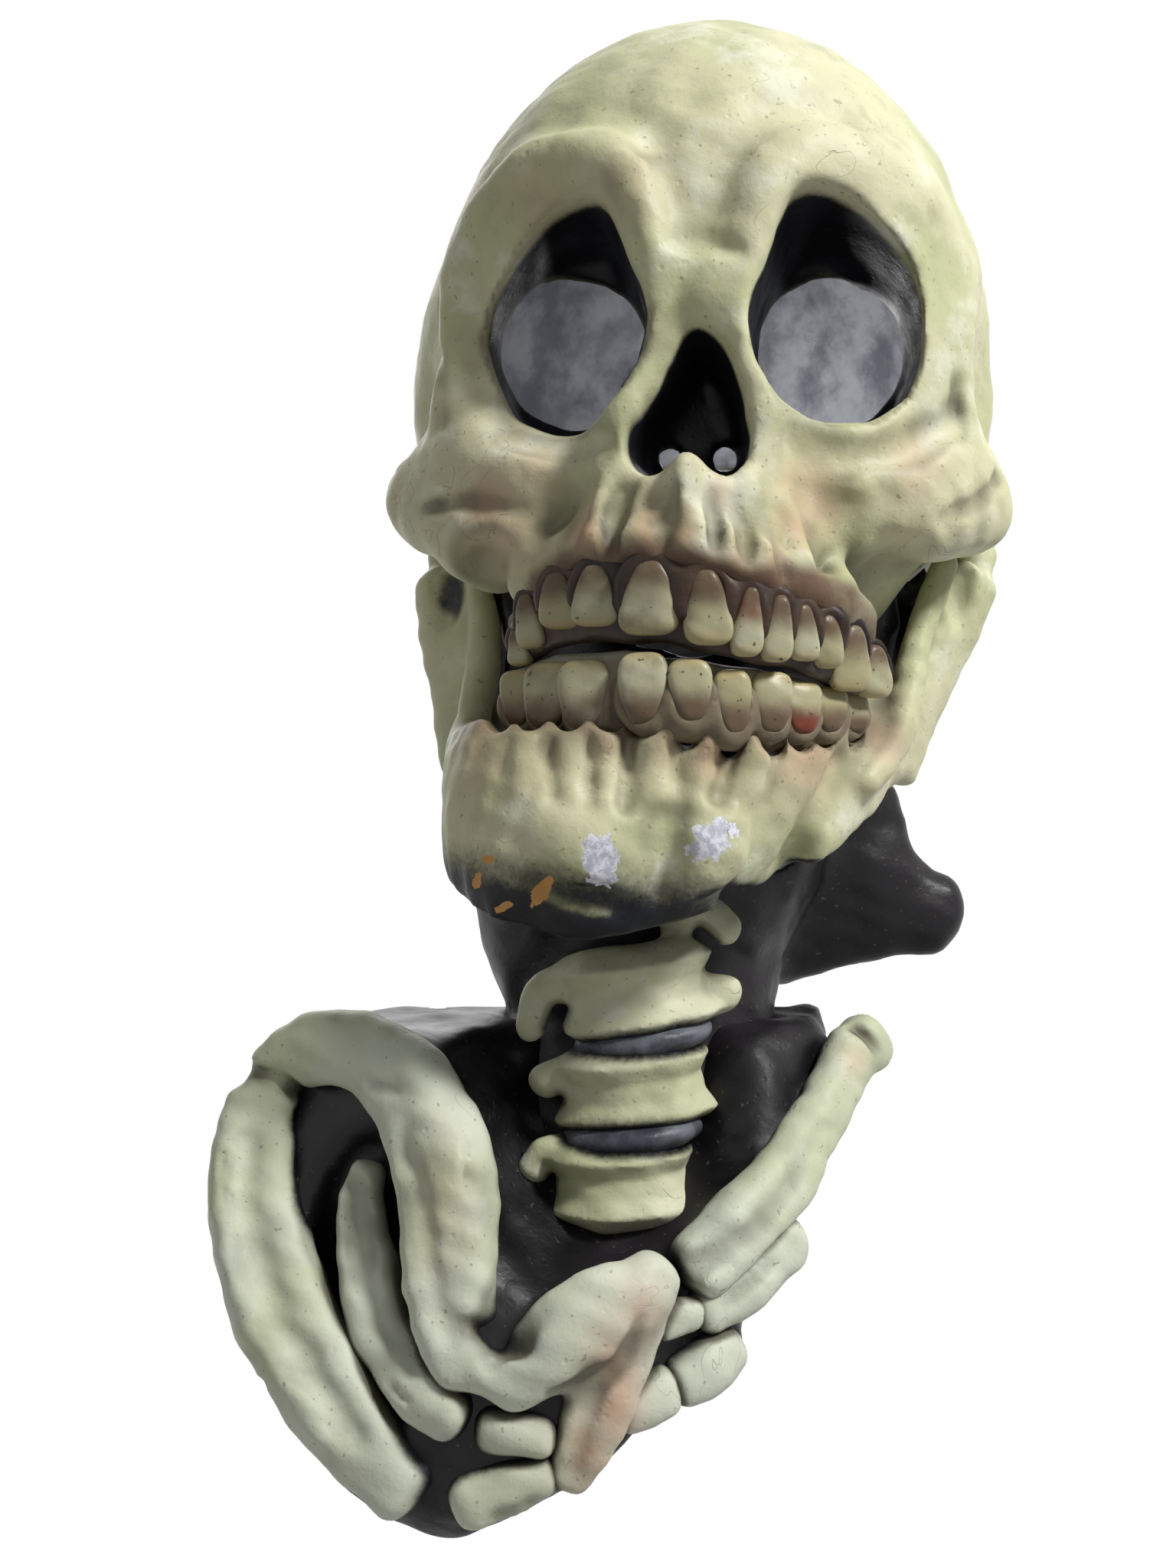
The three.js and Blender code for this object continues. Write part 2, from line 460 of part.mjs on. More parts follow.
// Jaw and teeth, with the latex strips that hold the teeth.
add('jaw', jawForm(0), boneColour);
const upperGrown = row(upperArchShares, upperToothShares, seat);
const lowerGrown = row(lowerArchShares, lowerToothShares, seat);
row(upperArchShares, upperToothShares, 0).forEach((body, i) =>
  add(`upper_tooth_${i + 1}`, without(body, [skullGrown, ...upperGrown.slice(0, i)]), enamel, 0.4));
row(lowerArchShares, lowerToothShares, 0).forEach((body, i) =>
  add(`lower_tooth_${i + 1}`, without(body, [jawSeat, ...lowerGrown.slice(0, i), ...upperGrown]), enamel, 0.4));
const bed = (arch, shares, grow) => strip(arch, shares, 0, bedInset, tooth.bedWall, tooth.bedHeight, grow);
const upperBed = bed(upperArchShares, upperToothShares, 0);
const slit = bed(upperArchShares, upperToothShares, jawRun);
add('upper_tooth_bed', without(upperBed, [skullGrown, ...upperGrown, ...lowerGrown.slice(-3)]), 0x4a463f);
add('lower_tooth_bed', without(bed(lowerArchShares, lowerToothShares, 0), [slit, jawSeat, ...lowerGrown]), 0x6d6a58);

// Neck sleeve with its side lobe. The jaw swings clear of it.
const chestGrown = chestForm(seat);
const sleeve = without(sleeveForm(0), [sleeveBore, chestGrown, jawSweep, skullGrown]);
const sleeveParting = sleevePartingShare * skull.halfHeight;
add('neck_sleeve', sleeve.subtract(beyond(down, -sleeveParting)), blackLatex, 0.55);
add('sleeve_base', sleeve.subtract(beyond(up, sleeveParting - seat)), blackLatex, 0.55);
add('neck_lobe', without(lobeForm(), [sleeveGrown, chestGrown, jawSweep, skullGrown]), blackLatex, 0.55);

// Spine: three vertebrae with discs between them, relief on the front of the sleeve.
const spineShares = [[-0.13, 1.1], [-0.14, 1.15], [-0.18, 1.275]];
const spineTopShare = -1.68;
const vertebraShares = [1.05, 1, 0.95];
// The vertebrae stand in a stack from the top one down. Their shares are across the skull and out of the neck.
function spineCentre(index) {
  const halves = swollen(vertebraShares, spine.halfHeight);
  let height = spineTopShare * skull.halfHeight;
  for (let i = 1; i <= index; i++) height -= halves[i - 1] + spine.gap + halves[i];
  const [x, forward] = spineShares[index];
  return new THREE.Vector3(x * skull.halfWidth, -forward * neck.halfDepth, height);
}
const wingShares = [
  [[[-0.5, -1.0, -1.3], [0.3, 0, -0.9]], [[0.4, 0.9, 1.3], [1.2, 1.6, 0.8]], [[0.5, 0.9, 1.15], [-0.3, -0.3, -0.5]]],
  [[[-0.5, -0.9, -1.2], [0.4, 0.4, 0.1]], [[-0.4, -0.7, -0.9], [-0.4, -0.7, -0.9]]],
  [[[-0.5, -0.9, -1.15], [0.6, 0.6, 0]]]];
function vertebraForm(index, grow) {
  const centre = spineCentre(index);
  const { halfWidth, halfDepth, halfHeight, process } = spine;
  const half = vertebraShares[index] * halfHeight + grow;
  const waistShares = [0.72, 0.98, 0.86, 0.84, 0.92, 0.7];
  const profile = waistShares.map((share, i) => new THREE.Vector2(share * vertebraShares[index] * halfWidth + grow,
    THREE.MathUtils.lerp(-half, half, i / (waistShares.length - 1))));
  const outline = [new THREE.Vector2(0, -half), ...profile, new THREE.Vector2(0, half)];
  const turned = closed(new THREE.LatheGeometry(outline, 16));
  turned.rotateX(Math.PI / 2);
  turned.scale(1, halfDepth / halfWidth, 1);
  turned.translate(centre.x, centre.y, centre.z);
  const wings = wingShares[index].map(([reach, drop]) => limb(
    reach.map((share, i) =>
      centre.clone().addScaledVector(across, share * halfWidth).addScaledVector(up, drop[i] * halfHeight)),
    [process, process, 0.8 * process], [0.9 * process, 0.8 * process, 0.7 * process], { grow, sides: 8, rings: 7 }));
  return joined([solid(turned), ...wings]);
}
const discShares = [0.82, 0.9];
function discForm(index) {
  const centre = spineCentre(index).lerp(spineCentre(index + 1), 0.5);
  return lump(centre, [discShares[0] * spine.halfWidth, discShares[1] * spine.halfDepth, spine.disc],
    { sides: 14, rings: 6 });
}
const spineNames = ['top', 'middle', 'low'];
const vertebraeGrown = spineNames.map((name, index) => vertebraForm(index, seat));
spineNames.forEach((name, index) => add(`vertebra_${name}`,
  without(vertebraForm(index, 0), [sleeveGrown, chestGrown, jawSweep, ...vertebraeGrown.slice(0, index)]),
  boneColour));
['upper', 'lower'].forEach((name, index) => add(`disc_${name}`,
  without(discForm(index), [sleeveGrown, chestGrown, ...vertebraeGrown]), 0x6f7480));

// Chest bib and the bones on it: name, places, half widths as multiples of a size, that size, and flatness.
add('chest_bib', without(chestForm(0), [chestForm(-chest.wall), sleeveBore, lobeForm(seat),
  beyond(back, chestCentre.y + backShare * chest.halfDepth)]), blackLatex, 0.6);
const chestBoneShares = [
  ['sternum', [[0.3, -1.22, -0.36], [0.2, -1.36, -0.53], [0.14, -1.41, -0.65], [0.1, -1.42, -0.77]], [0.9, 1.1, 1, 0.7],
    chest.sternum, 0.8],
  ['manubrium_wing', [[-0.09, -1.47, -0.56], [0.08, -1.44, -0.49], [0.27, -1.35, -0.42]], [0.8, 0.85, 0.8],
    chest.sternum, 0.85],
  ['collar_bone_left', [[-0.13, -1.4, -0.53], [-0.16, -1.29, -0.34], [-0.22, -1.12, -0.15], [-0.34, -0.94, 0],
    [-0.51, -0.76, 0.08], [-0.72, -0.66, 0.01]], [0.8, 1, 1.15, 1.15, 1.1, 1], chest.collarBone, 0.9],
  ['outer_rib_left', [[-0.78, -0.62, -0.05], [-0.77, -0.86, -0.23], [-0.69, -1.09, -0.42], [-0.57, -1.26, -0.6],
    [-0.42, -1.35, -0.75], [-0.24, -1.4, -0.86]], [0.9, 1.05, 1, 0.95, 0.9, 0.85], chest.rib, 0.8],
  ['outer_cartilage_left', [[-0.12, -1.44, -0.86], [-0.02, -1.44, -0.85], [0.09, -1.44, -0.79]], [0.65, 0.65, 0.5],
    chest.rib, 0.8],
  ['inner_rib_left', [[-0.46, -0.84, -0.12], [-0.49, -0.94, -0.3], [-0.44, -1.08, -0.47], [-0.33, -1.19, -0.61],
    [-0.2, -1.26, -0.7]], [0.8, 1, 1, 1, 1], chest.thinRib, 0.9],
  ['inner_cartilage_left', [[-0.14, -1.42, -0.69], [-0.04, -1.42, -0.71], [0.04, -1.42, -0.72]], [0.7, 0.65, 0.6],
    chest.thinRib, 0.9],
  ['collar_bone_right', [[0.36, -1.22, -0.37], [0.52, -1.09, -0.3], [0.67, -0.9, -0.2], [0.79, -0.68, -0.09],
    [0.9, -0.43, 0.05], [1.03, -0.16, 0.12]], [0.95, 0.95, 0.9, 0.75, 0.75, 0.95], chest.collarBone, 0.85],
  ['first_rib_right', [[0.67, -0.98, -0.36], [0.56, -1.1, -0.42], [0.45, -1.2, -0.46]], [0.7, 0.85, 0.8],
    chest.thinRib, 0.85],
  ['first_cartilage_right', [[0.43, -1.22, -0.46], [0.35, -1.27, -0.47], [0.28, -1.31, -0.47]], [0.7, 0.65, 0.6],
    chest.thinRib, 0.85],
  ['second_rib_right', [[0.52, -1.17, -0.54], [0.45, -1.23, -0.58], [0.37, -1.29, -0.6]], [0.6, 0.8, 0.8],
    chest.thinRib, 0.85],
  ['second_cartilage_right', [[0.35, -1.31, -0.61], [0.28, -1.35, -0.63], [0.22, -1.38, -0.66]], [0.7, 0.75, 0.65],
    chest.thinRib, 0.85],
];
const chestBone = ([, places, swells, size, flatness], grow) => {
  const halves = swollen(swells, size);
  return limb(places.map(onChest), halves, swollen(halves, flatness), { grow, rings: 10 });
};
const boneGrown = chestBoneShares.map((entry) => chestBone(entry, seat));
chestBoneShares.forEach((entry, index) => add(entry[0],
  without(chestBone(entry, 0), [chestGrown, sleeveGrown, ...vertebraeGrown, ...boneGrown.slice(0, index)]),
  boneColour));

// Wall hanger: a strap screwed into the pad's channel, and a ring that swings in the strap's eye.
const { ringWire, ringHalf, strapHalf } = hanger;
const strapTop = channelFloor + seat + hanger.strap;
const eyeRadius = ringWire + seat;
const ringAxis = new THREE.Vector3(padX, channelFloor + seat + eyeRadius + hanger.eyeWall, padZ);
const strapPlate = block(new THREE.Vector3(padX - strapHalf, channelFloor + seat, padZ),
  new THREE.Vector3(padX + strapHalf, strapTop, padZ + 2.6 * ringHalf));
const eyeBore = bar(eyeRadius, 4 * strapHalf, ringAxis, across, 16);
add('hanger_strap', strapPlate.add(bar(eyeRadius + hanger.eyeWall, 2 * strapHalf, ringAxis, across, 20))
  .subtract(eyeBore), 0x9a9ca0, 0.35, 0.9);
const ringShares = [[-1, 0], [-1, -0.6], [-0.72, -1.5], [0, -1.85], [0.72, -1.5], [1, -0.6], [1, 0]];
const ringPath = new THREE.CatmullRomCurve3(ringShares.map(([x, z]) =>
  new THREE.Vector3(padX + x * ringHalf, ringAxis.y, padZ + z * ringHalf)));
const wireSection = new THREE.Shape(new THREE.EllipseCurve(0, 0, ringWire, ringWire).getPoints(8).slice(0, -1));
const ringBow = solid(closed(new THREE.ExtrudeGeometry(wireSection,
  { extrudePath: ringPath, steps: 20, bevelEnabled: false })));
add('hanger_ring', ringBow.add(bar(ringWire, 2 * ringHalf + ringWire, ringAxis, across, 16)), 0xa9abad, 0.3, 1);
[1, 2].forEach((number) => add(`hanger_screw_${number}`, bar(hanger.screwHead, hanger.screwHeight,
  new THREE.Vector3(padX, strapTop + seat + hanger.screwHeight / 2, padZ + (number + 0.1) * ringHalf), front, 16),
0xb0b2b5, 0.3, 1));

// The finished mask, with the wall at Y = 0 and the middle of the pad's lower land at the origin.
const mask = new THREE.Group();
for (const [name, { body, colour, roughness, metalness }] of parts) {
  const material = new THREE.MeshStandardMaterial({ color: colour, roughness, metalness });
  const mesh = new THREE.Mesh(geometryOf(body), material);
  mesh.name = name;
  mask.add(mesh);
}
mask.position.set(-padX, -wallFace, hanger.landBelow - padZ);

export default mask;
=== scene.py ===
# %% [markdown]
# # A skull wall mask
# The object is a hollow latex mask that hangs on a wall: a skull with a loose jaw, a black neck sleeve
# with vertebrae on its front, and a chest bib with collar bones and ribs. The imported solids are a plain
# block-out of it. This lesson sculpts the soft forms over them, paints them and lights them.

# %% Load the frame
import math, time
import bmesh
import bpy
import numpy as np
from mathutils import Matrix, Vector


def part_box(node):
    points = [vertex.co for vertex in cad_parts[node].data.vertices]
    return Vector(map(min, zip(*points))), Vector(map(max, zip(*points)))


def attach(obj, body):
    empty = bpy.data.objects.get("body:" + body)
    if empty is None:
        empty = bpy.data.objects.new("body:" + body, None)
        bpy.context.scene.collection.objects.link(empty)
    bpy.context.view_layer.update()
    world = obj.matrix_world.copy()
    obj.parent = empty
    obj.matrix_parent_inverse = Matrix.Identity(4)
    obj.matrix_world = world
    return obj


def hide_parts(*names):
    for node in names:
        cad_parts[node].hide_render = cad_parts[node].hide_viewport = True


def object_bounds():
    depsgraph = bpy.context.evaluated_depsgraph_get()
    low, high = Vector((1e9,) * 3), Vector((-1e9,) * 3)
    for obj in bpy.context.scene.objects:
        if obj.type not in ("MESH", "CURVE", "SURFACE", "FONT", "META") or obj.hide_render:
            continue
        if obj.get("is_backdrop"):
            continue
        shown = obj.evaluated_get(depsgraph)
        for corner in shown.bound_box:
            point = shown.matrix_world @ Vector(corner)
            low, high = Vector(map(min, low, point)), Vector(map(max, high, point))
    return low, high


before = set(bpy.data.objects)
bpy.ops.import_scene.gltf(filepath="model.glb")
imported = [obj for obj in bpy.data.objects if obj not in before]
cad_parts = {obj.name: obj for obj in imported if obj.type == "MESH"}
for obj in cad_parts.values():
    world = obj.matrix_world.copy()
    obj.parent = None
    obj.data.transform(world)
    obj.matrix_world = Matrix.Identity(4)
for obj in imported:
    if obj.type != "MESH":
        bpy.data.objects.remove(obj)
import openvdb
from mathutils import Vector

cad_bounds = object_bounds()
cad_low, cad_high = (np.array(corner) for corner in cad_bounds)
start = time.time()
print("solids in the frame:", len(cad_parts))

# %% [markdown]
# ## Frame and sizes
# The skull was designed in millimetres from the middle of its braincase. Places are shares of the skull's
# or the chest's half sizes, as in the solids, so that a piece keeps its place when a size changes. The
# head looks a little to one side, and the jaw hangs skewed.

# %% Sizes and places
skull_half = np.array([110.0, 125.0, 128.0])
chest_half = np.array([122.0, 72.0, 138.0])
wall = 6.0
origin = np.array([15.4, 127.0, 6.0])
hinge = np.array([13.38, -8.75, -55.04])
skull_turn, skull_lean, jaw_skew = 0.14, 0.02, 0.14


def straight(share):
    return np.array(share, float) * skull_half


def on_skull(share):
    """A place on the head, which looks a little to one side."""
    x, y, z = share
    return np.array([x + skull_turn * (1 + y) + skull_lean * z, y, z]) * skull_half


chest_middle = straight((-0.43, -0.1, -1.92))


def on_chest(share):
    return np.array(share, float) * chest_half + chest_middle


def on_jaw(share):
    x, y, z = share
    return on_skull((x + jaw_skew * (z + 0.43), y, z))


def both_sides(places):
    return places, [(-x, y, z) for x, y, z in places]


print("the part's box in metres:", cad_low.round(3), cad_high.round(3))

# %% [markdown]
# ## Clay
# Bone has no seams where a ridge grows out of a plate. Blender could join meshes with Booleans or a
# Remesh modifier, but both leave sharp creases. Here each lump is a field of distances instead, and two
# fields are joined with a soft minimum, which leaves the fillet that a thumb leaves in clay.

# %% A form and how two forms blend
FAR, REACH = 40.0, 6.0  # a distance that counts as empty space, and how far from a form it is worked out
EVERYWHERE = [-2e3] * 3, [2e3] * 3


class Form:
    def __init__(self, low, high, distance):
        self.low, self.high, self.distance = np.array(low, float), np.array(high, float), distance


def soft_min(a, b, blend):
    if blend <= 0:
        return np.minimum(a, b)
    near = np.maximum(blend - np.abs(a - b), 0)
    return np.minimum(a, b) - near * near / (4 * blend)


def grown(form, by):
    return Form(form.low - by, form.high + by, lambda p: form.distance(p) - by)


def oval_distance(k0, k1):
    """Nearly the distance to an oval, from a place over its half sizes and over their squares."""
    return k0 * (k0 - 1) / np.maximum(k1, 1e-5)


def bend(a, b, c, d, t):
    """A smooth curve from b to c, where a comes before them and d after them."""
    return 0.5 * (2 * b + (c - a) * t + (2 * a - 5 * b + 4 * c - d) * t ** 2
                  + (3 * b - a - 3 * c + d) * t ** 3)

# %% [markdown]
# An egg-shaped lump makes the braincase, the muzzle and the chest. Its lean slides it with height.

# %% Lumps
def lump(centre, radii, lean=(0, 0), taper=0.0):
    centre, radii = np.array(centre, float), np.array(radii, float)
    reach = radii + np.array([abs(lean[0]), abs(lean[1]), 0]) * radii[2]

    def distance(points):
        q = points - centre
        q[:, 0] -= lean[0] * q[:, 2]
        q[:, 1] -= lean[1] * q[:, 2]
        q[:, 0] /= 1 - taper * np.clip(q[:, 2] / radii[2], 0, 1)
        k0 = np.sqrt(((q / radii) ** 2).sum(1))
        k1 = np.sqrt(((q / radii ** 2) ** 2).sum(1))
        return oval_distance(k0, k1)
    return Form(centre - reach, centre + reach, distance)


def skull_lump(share, radii, taper=0.0):
    return lump(on_skull(share), np.array(radii) * skull_half, taper=taper)


ball = lump((0, 0, 0), (10, 10, 10))
print("12 mm from the middle of a ball of 10 mm:", ball.distance(np.array([[12.0, 0, 0]])).round(1))

# %% [markdown]
# A limb is a bone that runs along a smooth curve, with its own width and thickness at each place. Ribs,
# cheek bones, brows and tooth roots are all limbs.

# %% Limbs
def smooth_line(places, count):
    """Points at even distances on a smooth curve through the places."""
    p = np.array(places, float)
    p = np.vstack([2 * p[0] - p[1], p, 2 * p[-1] - p[-2]])
    found = []
    for i in range(1, len(p) - 2):
        t = np.linspace(0, 1, 24, endpoint=False)[:, None]
        found.append(bend(p[i - 1], p[i], p[i + 1], p[i + 2], t))
    line = np.vstack(found + [p[-2][None]])
    run = np.concatenate([[0], np.cumsum(np.linalg.norm(np.diff(line, axis=0), axis=1))])
    return line, run


def limb(places, wides, thicks=None, facing=(0, -1, 0), full=1.0, pieces=12):
    thicks = wides if thicks is None else thicks
    line, run = smooth_line(places, pieces)
    read = lambda sizes, at: np.interp(at / run[-1], np.linspace(0, 1, len(sizes)), sizes)
    ends = [min(wides[0], thicks[0]), min(wides[-1], thicks[-1])]
    shrink = min(1, 0.98 * run[-1] / (ends[0] + ends[1]))
    stops = np.linspace(ends[0] * shrink, run[-1] - ends[1] * shrink, pieces + 1)
    spots = np.array([np.interp(stops, run, line[:, k]) for k in range(3)]).T
    wide, thick = read(wides, stops), read(thicks, stops)
    tangents = np.gradient(spots, axis=0)
    tangents /= np.linalg.norm(tangents, axis=1)[:, None]
    sides = np.cross(np.array(facing, float), tangents)
    sides /= np.linalg.norm(sides, axis=1)[:, None]
    lifts = np.cross(tangents, sides)
    power = 2 / full
    reach = max(wide.max(), thick.max())

    def distance(points):
        best = np.full(len(points), 1e3)
        for i in range(pieces):
            span = spots[i + 1] - spots[i]
            u = np.clip((points - spots[i]) @ span / (span @ span), 0, 1)
            q = points - spots[i] - u[:, None] * span
            w = wide[i] * (1 - u) + wide[i + 1] * u
            t = thick[i] * (1 - u) + thick[i + 1] * u
            frame_at = [(v[i] + v[i + 1]) / 2 for v in (sides, lifts, tangents)]
            s, l, c = (q @ axis for axis in frame_at)
            m = np.minimum(w, t)
            if power == 2:
                k0 = np.sqrt((s / w) ** 2 + (l / t) ** 2 + (c / m) ** 2)
            else:
                k0 = (np.abs(s / w) ** power + np.abs(l / t) ** power + np.abs(c / m) ** power) ** (1 / power)
            k1 = np.sqrt((s / w ** 2) ** 2 + (l / t ** 2) ** 2 + (c / m ** 2) ** 2)
            best = np.minimum(best, oval_distance(k0, k1))
        return best
    return Form(spots.min(0) - reach, spots.max(0) + reach, distance)


print("a straight limb of 30 mm reaches to", limb([(0, 0, 0), (30, 0, 0)], (5, 5)).high.round(1))

# %% [markdown]
# Cutters: a half of space, a round bar, a tapered pocket with a drawn outline for the eye sockets and the
# nose, and an upright sleeve through oval stations.

# %% Cutters and sleeves
def half_space(axis, beyond):
    return Form(*EVERYWHERE, lambda p: beyond - p[:, axis])


def bar_y(x, z, radius, low_y, high_y):
    def distance(p):
        from_side = np.hypot(p[:, 0] - x, p[:, 2] - z) - radius
        return np.maximum(from_side, np.maximum(low_y - p[:, 1], p[:, 1] - high_y))
    return Form([x - radius, low_y, z - radius], [x + radius, high_y, z + radius], distance)


def closed_curve(spots, steps=5):
    p = np.array(spots, float)
    t = np.linspace(0, 1, steps, endpoint=False)[:, None]
    a, b, c, d = (np.roll(p, k, axis=0) for k in (1, 0, -1, -2))
    return np.vstack([bend(a[i], b[i], c[i], d[i], t) for i in range(len(p))])


def outline_distance(u, v, curve):
    best, inside = np.full(len(u), 1e9), np.zeros(len(u), bool)
    for (ax, ay), (bx, by) in zip(curve, np.roll(curve, -1, axis=0)):
        ex, ey = bx - ax, by - ay
        t = np.clip(((u - ax) * ex + (v - ay) * ey) / (ex * ex + ey * ey), 0, 1)
        best = np.minimum(best, (u - ax - t * ex) ** 2 + (v - ay - t * ey) ** 2)
        if ay != by:
            inside ^= ((ay > v) != (by > v)) & (u < ex * (v - ay) / ey + ax)
    return np.where(inside, -1, 1) * np.sqrt(best)


def pocket(outline, side, mouth, floor, floor_scale, focus, round_floor=6.0):
    curve = closed_curve([(side * x * skull_half[0], z * skull_half[2]) for x, z in outline])
    middle = (curve.min(0) + curve.max(0)) / 2
    mouth_y, floor_y = mouth * skull_half[1], floor * skull_half[1]
    aim = straight((side * focus[0], focus[1], focus[2]))

    def distance(p):
        back = skull_turn * (1 + p[:, 1] / skull_half[1]) + skull_lean * p[:, 2] / skull_half[2]
        x, z = p[:, 0] - back * skull_half[0], p[:, 2]
        out = np.clip((floor_y - p[:, 1]) / (floor_y - mouth_y), 0, 1)
        scale = floor_scale + (1 - floor_scale) * np.sqrt(out)
        u = (x - (aim[0] + (middle[0] - aim[0]) * out)) / scale + middle[0]
        v = (z - (aim[2] + (middle[1] - aim[2]) * out)) / scale + middle[1]
        return -soft_min(-outline_distance(u, v, curve) * scale, floor_y - p[:, 1], round_floor)
    low = [curve[:, 0].min() - 10, mouth_y - 20, curve[:, 1].min() - 6]
    high = [curve[:, 0].max() + 30, floor_y, curve[:, 1].max() + 6]
    return Form(low, high, distance)


def oval_sleeve(stations, reach=0.0):
    """Stations run from the top down: x, y, z, half width, half depth."""
    s = np.array(stations, float)[::-1]
    top, low = s[-1, 2] + reach, s[0, 2] - reach

    def distance(p):
        x, y, w, d = (np.interp(p[:, 2], s[:, 2], s[:, k]) for k in (0, 1, 3, 4))
        k0 = np.hypot((p[:, 0] - x) / w, (p[:, 1] - y) / d)
        k1 = np.hypot((p[:, 0] - x) / w ** 2, (p[:, 1] - y) / d ** 2)
        return np.maximum(oval_distance(k0, k1), np.maximum(p[:, 2] - top, low - p[:, 2]))
    r = s[:, 3:5].max(0)
    low_corner = [s[:, 0].min() - r[0], s[:, 1].min() - r[1], low]
    return Form(low_corner, [s[:, 0].max() + r[0], s[:, 1].max() + r[1], top], distance)


print("points on a curve through four:", len(closed_curve([(0, 0), (1, 0), (1, 1), (0, 1)])))

# %% [markdown]
# Clay is a list of forms that are added and carved one after another. It is read on a grid to make a
# mesh, and at single points to find how deep in a hollow they lie.

# %% Clay
class Clay:
    def __init__(self):
        self.steps, self.low, self.high = [], np.full(3, 1e4), np.full(3, -1e4)

    def add(self, form, blend=0.0):
        self.steps.append((1, form, blend))
        self.low, self.high = np.minimum(self.low, form.low), np.maximum(self.high, form.high)
        return self

    def carve(self, form, blend=0.0):
        self.steps.append((-1, form, blend))
        return self

    def copy(self):
        twin = Clay()
        twin.steps, twin.low, twin.high = list(self.steps), self.low, self.high
        return twin

    def distance(self, points, reach=REACH):
        value = np.full(len(points), FAR)
        for sign, form, blend in self.steps:
            gap = reach + blend
            near = np.all((points > form.low - gap) & (points < form.high + gap), axis=1)
            if near.any():
                value[near] = sign * soft_min(sign * value[near], form.distance(points[near]), blend)
        return value


pair = Clay().add(ball).add(lump((18, 0, 0), (10, 10, 10)), 6)
print("over the joint of two balls:", pair.distance(np.array([[9.0, 0, 8.0]])).round(2))

# %% [markdown]
# A cast piece is never as smooth as its formula. Sculpt Mode would give it dents by hand. Here a sum of
# waves in random directions does it, so that the lesson gives the same piece each time.

# %% The unevenness of clay
rng = np.random.default_rng(11)
wave_lengths = (34, 27, 21, 17, 13, 10, 8)  # mm
waves = [(rng.normal(size=3), rng.uniform(0, 6.3), length) for length in wave_lengths for _ in range(2)]


def hand_marks(points):
    """The slight unevenness that fingers and tools leave in clay, in millimetres for a strength of one."""
    total = np.zeros(len(points))
    for direction, phase, length in waves:
        k = direction / np.linalg.norm(direction) * (6.283 / length)
        total += np.sin(points @ k + phase) * (length / wave_lengths[0]) ** 0.9
    return total * 0.34


print("waves in the clay:", len(waves))

# %% [markdown]
# To take a cast, the clay is read on a grid of a millimetre or two, and OpenVDB puts a mesh where the
# distance is nought. A Volume to Mesh modifier does the same, but it can't be told which crumbs to leave
# out. The mesh is carried into the frame of the part and kept inside the box of the solids.


def mould(name, clay, step, marks=0.0):
    """Reads clay on a grid and makes its surface a mesh in the frame of the part."""
    step = step * 1
    low = clay.low - 3 * step
    count = np.ceil((clay.high + 3 * step - low) / step).astype(int) + 1
    field = np.full(count, FAR, np.float32)
    for sign, form, blend in clay.steps:
        gap = REACH + blend
        first = np.clip(np.floor((form.low - gap - low) / step).astype(int), 0, count)
        last = np.clip(np.ceil((form.high + gap - low) / step).astype(int) + 1, 0, count)
        if np.any(last <= first):
            continue
        axes = [low[k] + step * np.arange(first[k], last[k]) for k in range(3)]
        points = np.stack(np.meshgrid(*axes, indexing="ij"), -1).reshape(-1, 3)
        there = form.distance(points).reshape(last - first)
        block = tuple(slice(a, b) for a, b in zip(first, last))
        field[block] = sign * soft_min(sign * field[block], there, blend)
    if marks:
        index = np.argwhere(np.abs(field) < 3 * step + 2)
        field[tuple(index.T)] += (marks * hand_marks(low + index * step)).astype(np.float32)
    grid = openvdb.FloatGrid(background=FAR)
    grid.copyFromArray(field)
    spots, quads = grid.convertToQuads(0.0)
    spots = low + spots.astype(float) * step
    return mesh_piece(name, spots, quads)


def into_scene(name, data):
    thing = bpy.data.objects.new(name, data)
    bpy.context.scene.collection.objects.link(thing)
    return thing


def mesh_piece(name, spots, faces):
    mesh = bpy.data.meshes.new(name)
    spots = np.clip((spots - origin) / 1000, cad_low, cad_high)
    mesh.from_pydata(spots, [], [tuple(int(i) for i in face) for face in faces])
    bm = bmesh.new()
    bm.from_mesh(mesh)
    islands(bm)
    bmesh.ops.smooth_vert(bm, verts=bm.verts, factor=0.4, use_axis_x=True, use_axis_y=True, use_axis_z=True)
    bm.normal_update()
    top = max(bm.faces, key=lambda f: f.calc_center_median().z)
    if top.normal.z < 0:
        bmesh.ops.reverse_faces(bm, faces=bm.faces)
    bm.to_mesh(mesh)
    bm.free()
    mesh.shade_smooth()
    piece = into_scene(name, mesh)
    print(f"{name}: {len(mesh.polygons)} faces, {time.time() - start:.0f} s")
    return piece


def islands(bm):
    """Keeps the largest connected piece and drops crumbs."""
    left, best = set(bm.verts), []
    while left:
        seed = left.pop()
        found, edge = [seed], [seed]
        while edge:
            nxt = []
            for v in edge:
                for e in v.link_edges:
                    o = e.other_vert(v)
                    if o in left:
                        left.discard(o)
                        nxt.append(o)
            found += nxt
            edge = nxt
        if len(found) > len(best):
            best, drop = found, best
        else:
            drop = found
        if drop:
            bmesh.ops.delete(bm, geom=drop, context="VERTS")

# %% [markdown]
# ## The skull
# The real piece is one latex casting with a braincase, brows, cheek bones and a muzzle. The tables are
# those of the solids, with the finer ridges added.

